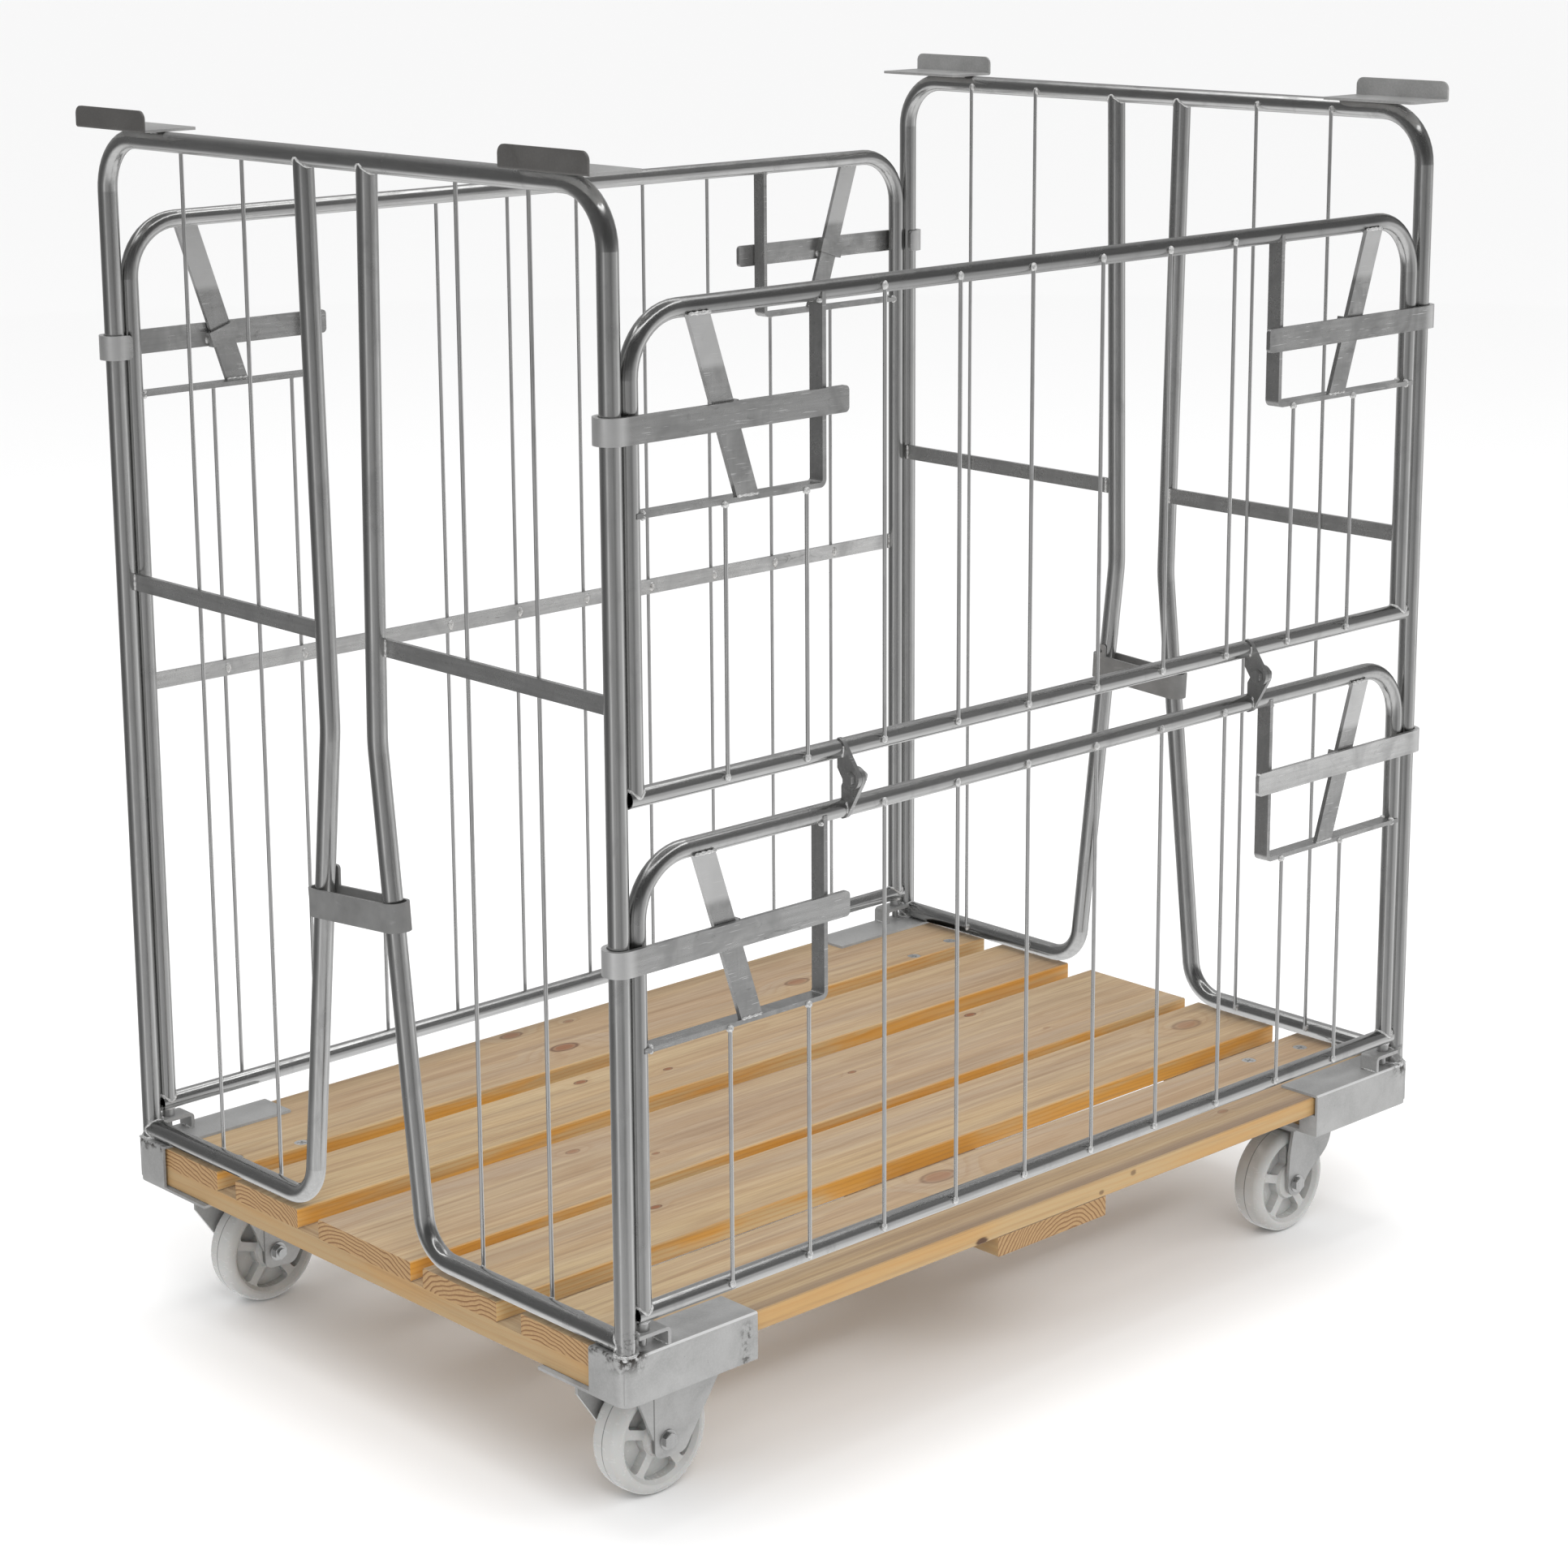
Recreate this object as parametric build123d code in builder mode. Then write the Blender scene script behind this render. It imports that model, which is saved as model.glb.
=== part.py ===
"""Roll cage container: a slatted timber base on four casters, two steel end frames,
a rear gate and a two-part front gate.

Frame: X runs along the long side, Y from the front gate (-Y) to the rear gate (+Y),
Z up from the floor. All sizes are in millimetres.
"""

from math import cos, hypot, radians, sin, tan
import os

from build123d import *

os.makedirs("parts", exist_ok=True)

# ---------------------------------------------------------------- driving dimensions
# End frames
FRAME_X = 600.0  # end frame plane to cage centre
POST_Y = 408.0  # post axis, and the plane of each gate
TUBE = 21.0  # end frame tube diameter
TOP_RAIL_Z = 1314.0
POST_FOOT_Z = 150.0
LOOP_BEND = 58.0
LOW_RAIL_Z = 207.5
INNER_FOOT_Y = 97.6  # where the inner upright's line meets the low rail
INNER_KINK_Y = 40.0
INNER_KINK_Z = 735.0
INNER_HEAD_Y = 52.0
INNER_BEND = 45.0
INNER_KINK_BEND = 160.0
WIRE = 4.2
END_WIRE_X = 588.4
END_WIRE_Y = (175.0, 284.0)

# Flat bar stock
FLAT_T = 5.0
SLIM_W = 18.0
WIDE_W = 26.0
END_BAR_Z = 833.5
END_BAR_X = 593.0

# Base
BOARD_TOP_Z = 194.0
BOARD_T = 22.0
BOARD_HALF_X = 608.0
BOARD_ROWS_Y = ((-415.0, -258.0), (-219.0, -99.0), (-78.0, 82.0), (120.0, 235.0), (270.0, 415.0))
CROSS_COLUMNS_X = {"left": (-608.0, -450.0), "middle": (-88.0, 82.0), "right": (450.0, 608.0)}
CROSS_HALF_Y = 415.0
BOARD_EDGE = 1.2
POST_NOTCH_R = 11.2
SCREW_HEAD_R = 9.0
SCREW_SHANK_R = 3.0
SCREW_SINK = 3.0
SCREW_LENGTH = 38.0
SCREW_SPOTS = ((487.0, 281.0), (567.0, 294.0))

# Corner sleeves
SHEET = 3.0
SLEEVE_X = 613.5
SLEEVE_Y = 421.5
SLEEVE_LOW_Z = 147.0
SLEEVE_TOP_Z = 197.0
SLEEVE_INNER_X = 440.0
SLEEVE_PLATE_Y = 368.0
SLEEVE_FLOOR_Y = 290.0
SLEEVE_TAB_Y = 396.0
SLEEVE_RIM_R = 2.4

# Stacking angles
ANGLE_TOP_Z = 1347.0
ANGLE_X = (563.0, 629.0)
ANGLE_Y = (290.0, 417.0)
ANGLE_CORNER = 9.0

# Gates
GATE_TUBE = 19.0
GATE_RAIL_WALL = 1.5
GATE_SIDE_X = 578.5
GATE_RAIL_END_X = 588.0
GATE_BEND = 60.0
GATE_WIRE_Y = 418.6
GATE_WIRE_X = (52.25, 156.75, 261.25, 365.75, 470.25)
GUIDE_X = 342.0
GUIDE_DROP = 185.0  # top rail axis to guide bar centre
GUIDE_BEND = 8.0
GUIDE_Y = 409.5  # middle of the guide bar's width
GUIDE_FACE_Y = 418.5
DIAGONAL_FOOT_X = 441.5
DIAGONAL_LEAN = 18.5  # degrees from vertical, head nearer the post
DIAGONAL_HEAD_DROP = 6.0  # top rail axis to the diagonal's upper end
REAR_BAR_Y = 414.0
REAR_BAR_Z = 716.0

# gate name: side of the cage (-1 front, +1 rear), bottom rail height, top rail height
GATES = {
    "lower_gate": (-1, 233.0, 685.0),
    "upper_gate": (-1, 746.0, 1198.0),
    "rear_gate": (1, 233.0, 1221.0),
}

# Latches: one flat bar each, hooked round the post
LATCH_BACK_Y = 419.8
LATCH_INNER_END_X = 315.0
HOOK_TIP_X = 588.5
LATCH_CORNER = 5.0
LOOP_GAP = 28.0
LOOP_T = 4.0
LOOP_W = 17.0
LOOP_BACK_Y = 413.0
LATCH_HEIGHTS = {
    "lower_gate": {"left": 592.0, "right": 592.0},
    "upper_gate": {"left": 1094.0, "right": 1086.0},
    "rear_gate": {"left": 1090.0, "right": 1110.0},
}

# Gate seats and pins
PIN_R = 4.0
PIN_TIP_Z = 199.0
COLLAR_R = 7.0
COLLAR_LOW_Z = 216.3
SEAT_TOP_Z = 216.0
SEAT_T = 4.0
SEAT_INNER_X = 552.0
SEAT_Y = (396.0, 420.0)
SEAT_BEND = 6.0

# Fold hinges between the two front gates
HINGE_X = 311.0
HINGE_AXIS_Y = -427.0
HINGE_AXIS_Z = 719.0
HINGE_PLATE_T = 5.0
HINGE_GAP = 0.4
HINGE_PLATE_R = 11.0
HINGE_BOLT_R = 4.0
HINGE_BOLT_SIZE = {"shank_r": HINGE_BOLT_R, "head_r": 7.0, "head_t": 5.0, "nut_t": 6.0}
HINGE_BOLT_TAIL = 9.0

# Clamps round the two inner uprights of each end frame
CLAMP_H = 30.0
CLAMP_T = 3.0
CLAMP_INNER_R = 11.3
CLAMP_SLACK = 3.5
LUG_W = 14.0
LUG_RISE = 17.0  # above the band
LUG_SINK = 9.0  # behind the band
LUG_INSET = 6.0  # from the rear upright's axis
LUG_CORNER = 4.0
LUG_HOLE_R = 2.5
LUG_HOLE_RISE = 9.0
CLAMPS = {"left": (-1, 554.0, 5.0), "right": (1, 600.0, -3.0)}  # side, height, tilt

# Casters
WHEEL_R = 62.5
CASTER_Y = 334.0
FIXED_X = -508.0
SWIVEL_X = 515.0
TRAIL = 34.0
TREAD_HALF = 20.0
# Wheel profile points: radius, half width
TREAD_EDGE = ((52.5, 20.0), (58.8, 17.2), (61.8, 10.0))
HUB_HALF = 22.5
HUB_RIM = (12.5, 22.5)
HUB_FOOT = (20.0, 19.0)
WEB_INNER = (21.5, 15.5)
WEB_OUTER = (46.0, 15.0)
LIP_INNER = (50.0, 19.2)
POCKET_R = 46.0
POCKET_INNER_R = 22.0
POCKET_FLOOR = 4.5
POCKET_CORNER = 4.0
SPOKES = 5
SPOKE_W = 10.0
SPOKE_TURN = 18.0
AXLE_R = 5.0
AXLE_SIZE = {
    "shank_r": AXLE_R,
    "head_r": 8.5,
    "head_t": 6.0,
    "nut_t": 7.5,
    "flange_r": 10.5,
    "flange_t": 1.6,
}
AXLE_TAIL = 10.0
RUNNING_FIT = 0.05
FORK_INNER = 24.0
FORK_T = 4.0
LEG_FOOT_R = 11.0
PLATE_LOW_Z = 144.0
PLATE_HALF_X = 72.5
PLATE_HALF_Y = 55.0
# Fixed leg outline: distance from the axle towards the leg's steep side, height
FIXED_LEG = (
    (40.0, PLATE_LOW_Z),
    (36.0, 109.0),
    (18.0, 66.0),
    (17.0, 45.0),
    (-22.0, 43.0),
    (-72.0, 116.0),
    (-72.0, PLATE_LOW_Z),
)
# Swivel leg outline: crown ends, steep side, then the back edge from the eye up
CROWN_X = (474.0, 546.0)
SWIVEL_LEG_WAIST = (468.0, 100.0)
SWIVEL_LEG_BACK = ((512.0, 76.0), (534.0, 92.0), (545.0, 118.0))
EYE_R = 15.0
EYE_SWEEP = 25.0  # degrees below the axle where the eye runs into the back edge
CROWN_Z = 127.0
RACE_SPLIT_Z = 137.0
RACE_GAP = 0.3
UPPER_RACE_R = 31.0
LOWER_RACE_R = 28.0
KINGPIN_R = 7.0
KINGPIN_HEAD_R = 11.0
KINGPIN_HEAD_T = 5.0

SIDES = {"left": -1, "right": 1}
ENDS = {"front": -1, "rear": 1}


# ---------------------------------------------------------------- shared shapes
def keep(piece, label):
    """Name a finished piece and write it out."""
    piece.part.label = label
    export_step(piece.part, f"parts/{label}.step")


def keep_group(pieces, label):
    """Write out separate small pieces that share one node."""
    together = Compound([solid for piece in pieces for solid in piece.part.solids()])
    together.label = label
    export_step(together, f"parts/{label}.step")


def ordered(low, high):
    return (low, high) if low < high else (high, low)


def block(x_range, y_range, z_range):
    """Add a rectangular bar, given by its three ranges, to the active part."""
    x0, x1 = ordered(*x_range)
    y0, y1 = ordered(*y_range)
    z0, z1 = ordered(*z_range)
    with BuildSketch(Plane.XY.offset(z0)) as base:
        with Locations(((x0 + x1) / 2, (y0 + y1) / 2)):
            Rectangle(x1 - x0, y1 - y0)
    extrude(base.sketch, amount=z1 - z0)


def rod(start, end, radius, mode=Mode.ADD):
    """Add a straight round bar from one point to another to the active part."""
    axis = Vector(*end) - Vector(*start)
    with BuildSketch(Plane(origin=start, z_dir=axis)) as section:
        Circle(radius)
    extrude(section.sketch, amount=axis.length, mode=mode)


def cut_away(*others):
    """Cope the active part against pieces that it is welded to."""
    for other in others:
        add(other.part, mode=Mode.SUBTRACT)


def bent_tube(points, radii, diameter, *welded_to):
    """A round bar along straight runs joined by arcs, coped against its neighbours."""
    with BuildPart() as tube:
        with BuildLine() as route:
            FilletPolyline(*points, radius=radii)
        with BuildSketch(Plane(origin=route.line @ 0, z_dir=route.line % 0)):
            Circle(diameter / 2)
        sweep(path=route.line)
        cut_away(*welded_to)
    return tube


def flange(seat, direction, size):
    """Round flange at the foot of a hex, for the sizes that have one."""
    if "flange_r" in size:
        rod(seat, seat + direction * size["flange_t"], size["flange_r"])


def hex_bolt(under_head, direction, size, length):
    """Bolt whose shank runs from under its head along a direction."""
    with BuildPart() as bolt:
        rod(under_head, under_head + direction * length, size["shank_r"])
        flange(under_head, -direction, size)
        with BuildSketch(Plane(origin=under_head, z_dir=-direction)) as head:
            RegularPolygon(size["head_r"], 6)
        extrude(head.sketch, amount=size["head_t"])
    return bolt


def hex_nut(near_face, direction, size):
    far_face = near_face + direction * size["nut_t"]
    with BuildPart() as nut:
        with BuildSketch(Plane(origin=near_face, z_dir=direction)) as hexagon:
            RegularPolygon(size["head_r"], 6)
        extrude(hexagon.sketch, amount=size["nut_t"])
        flange(near_face, direction, size)
        rod(near_face, far_face, size["shank_r"], mode=Mode.SUBTRACT)
    return nut


# ---------------------------------------------------------------- end frames
def outer_loop(side):
    x = side * FRAME_X
    points = (
        (x, -POST_Y, POST_FOOT_Z),
        (x, -POST_Y, TOP_RAIL_Z),
        (x, POST_Y, TOP_RAIL_Z),
        (x, POST_Y, POST_FOOT_Z),
    )
    return bent_tube(points, LOOP_BEND, TUBE)


def inner_tube(side, end, loop):
    """Low rail from the post, bent up into the leaning inner upright."""
    x = side * FRAME_X
    points = (
        (x, end * POST_Y, LOW_RAIL_Z),
        (x, end * INNER_FOOT_Y, LOW_RAIL_Z),
        (x, end * INNER_KINK_Y, INNER_KINK_Z),
        (x, end * INNER_HEAD_Y, TOP_RAIL_Z),
    )
    return bent_tube(points, (INNER_BEND, INNER_KINK_BEND), TUBE, loop)


def inner_upright_y(z):
    """Distance of the inner upright's axis from the middle plane at a height."""
    if z < INNER_KINK_Z:
        share = (INNER_KINK_Z - z) / (INNER_KINK_Z - LOW_RAIL_Z)
        return INNER_KINK_Y + share * (INNER_FOOT_Y - INNER_KINK_Y)
    share = (z - INNER_KINK_Z) / (TOP_RAIL_Z - INNER_KINK_Z)
    return INNER_KINK_Y + share * (INNER_HEAD_Y - INNER_KINK_Y)


def end_wires(side, *welded_to):
    x = side * END_WIRE_X
    with BuildPart() as wires:
        for end in ENDS.values():
            for y in END_WIRE_Y:
                rod((x, end * y, LOW_RAIL_Z), (x, end * y, TOP_RAIL_Z), WIRE / 2)
        cut_away(*welded_to)
    return wires


def end_bars(side, *welded_to):
    """Flat cross bars, each from a post to the inner upright beside it."""
    x = side * END_BAR_X
    with BuildPart() as bars:
        for end in ENDS.values():
            block(
                (x - FLAT_T / 2, x + FLAT_T / 2),
                (end * POST_Y, end * inner_upright_y(END_BAR_Z)),
                (END_BAR_Z - SLIM_W / 2, END_BAR_Z + SLIM_W / 2),
            )
        cut_away(*welded_to)
    return bars


def stacking_angle(side, end):
    """Folded sheet on the loop's top corner: a flat seat with an upright outer flange."""
    seat_z = TOP_RAIL_Z + TUBE / 2
    inner_x, outer_x = ANGLE_X
    with BuildPart() as angle:
        block(
            (side * inner_x, side * outer_x),
            (end * ANGLE_Y[0], end * ANGLE_Y[1]),
            (seat_z, seat_z + SHEET),
        )
        inner_corners = angle.edges().filter_by(Axis.Z).group_by(Axis.X)[-1 if side < 0 else 0]
        fillet(inner_corners, ANGLE_CORNER / 2)
        with BuildSketch(Plane.YZ.offset(side * (outer_x - SHEET / 2))) as flange:
            with Locations((end * sum(ANGLE_Y) / 2, (seat_z + ANGLE_TOP_Z) / 2)):
                Rectangle(ANGLE_Y[1] - ANGLE_Y[0], ANGLE_TOP_Z - seat_z)
            fillet(flange.vertices().group_by(Axis.Y)[-1], ANGLE_CORNER)
        extrude(amount=SHEET / 2, both=True)
        bend = angle.edges().filter_by(Axis.Y).group_by(Axis.Z)[0]
        fillet(bend.sort_by(Axis.X)[0 if side < 0 else -1], SHEET)
    return angle


def frame_clamp(side, height, tilt):
    """Tilted band round both inner uprights, with a holed lug above its rear end."""
    reach = inner_upright_y(height) + CLAMP_SLACK
    slope = (cos(radians(tilt)), sin(radians(tilt)))
    plane = Plane(
        origin=(side * FRAME_X, 0, height),
        x_dir=(0, slope[0], -slope[1]),
        z_dir=(0, slope[1], slope[0]),
    )
    with BuildPart() as clamp:
        with BuildSketch(plane):
            SlotCenterToCenter(2 * reach, 2 * (CLAMP_INNER_R + CLAMP_T))
            SlotCenterToCenter(2 * reach, 2 * CLAMP_INNER_R, mode=Mode.SUBTRACT)
        extrude(amount=CLAMP_H / 2, both=True)
        lug_y = reach - LUG_INSET
        band_top_z = height + CLAMP_H / 2
        with BuildSketch(Plane.YZ.offset(side * (FRAME_X - CLAMP_INNER_R - CLAMP_T / 2))) as lug:
            with Locations((lug_y, band_top_z + (LUG_RISE - LUG_SINK) / 2)):
                Rectangle(LUG_W, LUG_RISE + LUG_SINK)
            fillet(lug.vertices().group_by(Axis.Y)[-1], LUG_CORNER)
            with Locations((lug_y, band_top_z + LUG_HOLE_RISE)):
                Circle(LUG_HOLE_R, mode=Mode.SUBTRACT)
        extrude(amount=CLAMP_T / 2, both=True)
    return clamp


# ---------------------------------------------------------------- base
def deck_screws():
    """Countersunk screws through the outer boards' ends."""
    with BuildPart() as screws:
        for side in SIDES.values():
            for end in ENDS.values():
                for x, y in SCREW_SPOTS:
                    head = (side * x, end * y, BOARD_TOP_Z)
                    with BuildSketch(Plane(origin=head, z_dir=(0, 0, -1))):
                        Circle(SCREW_HEAD_R)
                    extrude(amount=SCREW_SINK, taper=45)
                    rod(head, (head[0], head[1], BOARD_TOP_Z - SCREW_LENGTH), SCREW_SHANK_R)
    return screws


def notch_for_posts():
    """Clear the corners of the active part round the post feet."""
    for side in SIDES.values():
        for end in ENDS.values():
            foot = (side * FRAME_X, end * POST_Y, POST_FOOT_Z - 1)
            rod(foot, (foot[0], foot[1], BOARD_TOP_Z + 1), POST_NOTCH_R, mode=Mode.SUBTRACT)


def deck_board(y_range, screws):
    with BuildPart() as board:
        block((-BOARD_HALF_X, BOARD_HALF_X), y_range, (BOARD_TOP_Z - BOARD_T, BOARD_TOP_Z))
        chamfer(board.edges().filter_by(Axis.X), BOARD_EDGE)
        notch_for_posts()
        cut_away(screws)
    return board


def cross_board(x_range, screws):
    low_z = BOARD_TOP_Z - 2 * BOARD_T
    with BuildPart() as board:
        block(x_range, (-CROSS_HALF_Y, CROSS_HALF_Y), (low_z, low_z + BOARD_T))
        chamfer(board.edges().filter_by(Axis.Y).group_by(Axis.Z)[0], BOARD_EDGE)
        notch_for_posts()
        cut_away(screws)
    return board


def corner_sleeve(side, end):
    """Folded sheet shoe that wraps the board corner and holds the post foot."""
    corner = (side * FRAME_X, end * POST_Y)
    outer_r = SLEEVE_X - FRAME_X
    x_in = side * SLEEVE_INNER_X
    x_out = side * SLEEVE_X
    y_out = end * SLEEVE_Y
    with BuildPart() as sleeve:
        block((x_in, x_out), (end * SLEEVE_PLATE_Y, y_out), (SLEEVE_TOP_Z - SHEET, SLEEVE_TOP_Z))
        block((x_in, x_out), (end * SLEEVE_FLOOR_Y, y_out), (SLEEVE_LOW_Z, SLEEVE_LOW_Z + SHEET))
        block((x_in, x_out), (y_out, y_out - end * SHEET), (SLEEVE_LOW_Z, SLEEVE_TOP_Z))
        block((x_out, x_out - side * SHEET), (end * SLEEVE_PLATE_Y, y_out), (SLEEVE_LOW_Z, SLEEVE_TOP_Z))
        block(
            (x_in, x_in + side * SHEET),
            (end * SLEEVE_TAB_Y, y_out),
            (SLEEVE_LOW_Z, BOARD_TOP_Z - BOARD_T),
        )
        corner_edge = sleeve.edges().filter_by(Axis.Z).group_by(SortBy.LENGTH)[-1]
        upright = corner_edge.sort_by_distance((side * SLEEVE_X, end * SLEEVE_Y, SLEEVE_TOP_Z / 2))[0]
        fillet(upright, outer_r)
        foot = (corner[0], corner[1], POST_FOOT_Z)
        rod(foot, (corner[0], corner[1], SLEEVE_TOP_Z + 1), TUBE / 2, mode=Mode.SUBTRACT)
        rim = sleeve.edges().filter_by(Axis.X).group_by(Axis.Z)[-1]
        fillet(rim.sort_by(Axis.Y)[0 if end < 0 else -1], SLEEVE_RIM_R)
    return sleeve


def gate_seat(side, end):
    """Bent flat bar beside the post; the gate pin drops through its top."""
    y_mid = end * sum(SEAT_Y) / 2
    top_z = SEAT_TOP_Z - SEAT_T / 2
    leg_x = side * (SEAT_INNER_X + SEAT_T / 2)
    post_side_x = side * (FRAME_X - TUBE / 2 + 3)
    with BuildPart() as seat:
        with BuildSketch(Plane.XZ.offset(-y_mid)):
            with BuildLine() as route:
                FilletPolyline(
                    (post_side_x, top_z),
                    (leg_x, top_z),
                    (leg_x, SLEEVE_TOP_Z),
                    radius=SEAT_BEND - SEAT_T / 2,
                )
            trace(route.line, line_width=SEAT_T)
        extrude(amount=(SEAT_Y[1] - SEAT_Y[0]) / 2, both=True)
        post = (side * FRAME_X, end * POST_Y, SLEEVE_TOP_Z)
        rod(post, (post[0], post[1], SEAT_TOP_Z + 1), TUBE / 2, mode=Mode.SUBTRACT)
        low_rail = (side * FRAME_X, end * POST_Y, LOW_RAIL_Z)
        rod(low_rail, (low_rail[0], 0, LOW_RAIL_Z), TUBE / 2, mode=Mode.SUBTRACT)
        pin = (side * GATE_SIDE_X, end * POST_Y, SLEEVE_TOP_Z)
        rod(pin, (pin[0], pin[1], SEAT_TOP_Z + 1), PIN_R + 0.5, mode=Mode.SUBTRACT)
    return seat


# ---------------------------------------------------------------- gates
def gate_bottom_rail(gate_side, rail_z):
    y = gate_side * POST_Y
    start = (-GATE_RAIL_END_X, y, rail_z)
    end = (GATE_RAIL_END_X, y, rail_z)
    with BuildPart() as rail:
        rod(start, end, GATE_TUBE / 2)
        rod(start, end, GATE_TUBE / 2 - GATE_RAIL_WALL, mode=Mode.SUBTRACT)
    return rail


def gate_rail_bar(gate_side, rail_z):
    """The bottom rail without its bore, for coping what is welded on it."""
    y = gate_side * POST_Y
    with BuildPart() as bar:
        rod((-GATE_RAIL_END_X, y, rail_z), (GATE_RAIL_END_X, y, rail_z), GATE_TUBE / 2)
    return bar


def gate_hoop(gate_side, low_z, top_z, rail_bar):
    y = gate_side * POST_Y
    points = (
        (-GATE_SIDE_X, y, low_z),
        (-GATE_SIDE_X, y, top_z),
        (GATE_SIDE_X, y, top_z),
        (GATE_SIDE_X, y, low_z),
    )
    return bent_tube(points, GATE_BEND, GATE_TUBE, rail_bar)


def guide_z(top_z):
    return top_z - GUIDE_DROP


def gate_guides(gate_side, top_z, hoop):
    """L-shaped guide bars that close a window in each upper corner of the gate."""
    foot_z = guide_z(top_z)
    with BuildPart() as guides:
        for side in SIDES.values():
            with BuildSketch(Plane.XZ.offset(-gate_side * GUIDE_Y)):
                with BuildLine() as route:
                    FilletPolyline(
                        (side * GUIDE_X, top_z),
                        (side * GUIDE_X, foot_z),
                        (side * GATE_SIDE_X, foot_z),
                        radius=GUIDE_BEND - FLAT_T / 2,
                    )
                trace(route.line, line_width=FLAT_T)
            extrude(amount=SLIM_W / 2, both=True)
        cut_away(hoop)
    return guides


def diagonal_x(z, foot_z):
    """Distance of the diagonal's centre line from the middle plane at a height."""
    return DIAGONAL_FOOT_X + (z - foot_z) * tan(radians(DIAGONAL_LEAN))


def gate_diagonals(gate_side, top_z, hoop):
    """Leaning flat bars that the latches slide on."""
    foot_z = guide_z(top_z) + FLAT_T / 2
    head_z = top_z - DIAGONAL_HEAD_DROP
    half = WIDE_W / 2 / cos(radians(DIAGONAL_LEAN))
    mid_y = GUIDE_FACE_Y - FLAT_T / 2
    with BuildPart() as diagonals:
        for side in SIDES.values():
            foot_x = DIAGONAL_FOOT_X
            head_x = diagonal_x(head_z, foot_z)
            with BuildSketch(Plane.XZ.offset(-gate_side * mid_y)):
                with BuildLine():
                    Polyline(
                        (side * (foot_x - half), foot_z),
                        (side * (foot_x + half), foot_z),
                        (side * (head_x + half), head_z),
                        (side * (head_x - half), head_z),
                        close=True,
                    )
                make_face()
            extrude(amount=FLAT_T / 2, both=True)
        cut_away(hoop)
    return diagonals


def gate_wires(gate_side, low_z, top_z, *welded_to):
    """Upright rods on the outer face; those under a guide bar stop there."""
    y = gate_side * GATE_WIRE_Y
    with BuildPart() as wires:
        for side in SIDES.values():
            for x in GATE_WIRE_X:
                head_z = guide_z(top_z) if x > GUIDE_X else top_z
                rod((side * x, y, low_z), (side * x, y, head_z), WIRE / 2)
        cut_away(*welded_to)
    return wires


def rear_mid_bar(*welded_to):
    with BuildPart() as bar:
        block(
            (-GATE_SIDE_X, GATE_SIDE_X),
            (REAR_BAR_Y - FLAT_T / 2, REAR_BAR_Y + FLAT_T / 2),
            (REAR_BAR_Z - SLIM_W / 2, REAR_BAR_Z + SLIM_W / 2),
        )
        cut_away(*welded_to)
    return bar


def gate_pins(gate_side, low_z, rail_bar):
    """Collared pins under the bottom rail that stand in the gate seats."""
    with BuildPart() as pins:
        for side in SIDES.values():
            x = side * GATE_SIDE_X
            y = gate_side * POST_Y
            rod((x, y, COLLAR_LOW_Z), (x, y, low_z), COLLAR_R)
            rod((x, y, PIN_TIP_Z), (x, y, COLLAR_LOW_Z), PIN_R)
        chamfer(pins.edges().filter_by(GeomType.CIRCLE).group_by(Axis.Z)[0], 1)
        cut_away(rail_bar)
    return pins


def latch(gate_side, side, height, top_z):
    """Flat bar with a hook round the post and a loop round the gate's diagonal."""
    hook_r = POST_Y - (2 * POST_Y - LATCH_BACK_Y - FLAT_T / 2)
    bar_y = gate_side * (LATCH_BACK_Y + FLAT_T / 2)
    tip_y = gate_side * (POST_Y - hook_r)
    lean = radians(DIAGONAL_LEAN)
    along = (side * sin(lean), 0, cos(lean))
    across = (cos(lean), 0, -side * sin(lean))
    loop_x = side * diagonal_x(height, guide_z(top_z) + FLAT_T / 2)
    depth = LATCH_BACK_Y - LOOP_BACK_Y
    with BuildPart() as bar:
        with BuildSketch(Plane.XY.offset(height)):
            with BuildLine() as route:
                Line((side * LATCH_INNER_END_X, bar_y), (side * FRAME_X, bar_y))
                ThreePointArc(
                    (side * FRAME_X, bar_y),
                    (side * (FRAME_X + hook_r), gate_side * POST_Y),
                    (side * FRAME_X, tip_y),
                )
                Line((side * FRAME_X, tip_y), (side * HOOK_TIP_X, tip_y))
            trace(route.line, line_width=FLAT_T)
        extrude(amount=WIDE_W / 2, both=True)
        corners = bar.edges().filter_by(Axis.Y).filter_by(lambda edge: edge.length < FLAT_T + 0.1)
        fillet(corners, LATCH_CORNER)
        loop_plane = Plane(origin=(loop_x, gate_side * LATCH_BACK_Y, height), x_dir=across, z_dir=along)
        inward = loop_plane.to_local_coords(Vector(loop_x, 0, height)).Y
        toward = 1 if inward > 0 else -1
        with BuildSketch(loop_plane):
            with Locations((0, toward * (depth + LOOP_T) / 2)):
                Rectangle(LOOP_GAP + 2 * LOOP_T, depth + LOOP_T)
            with Locations((0, toward * depth / 2)):
                Rectangle(LOOP_GAP, depth, mode=Mode.SUBTRACT)
        extrude(amount=LOOP_W / 2, both=True)
    return bar


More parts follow.
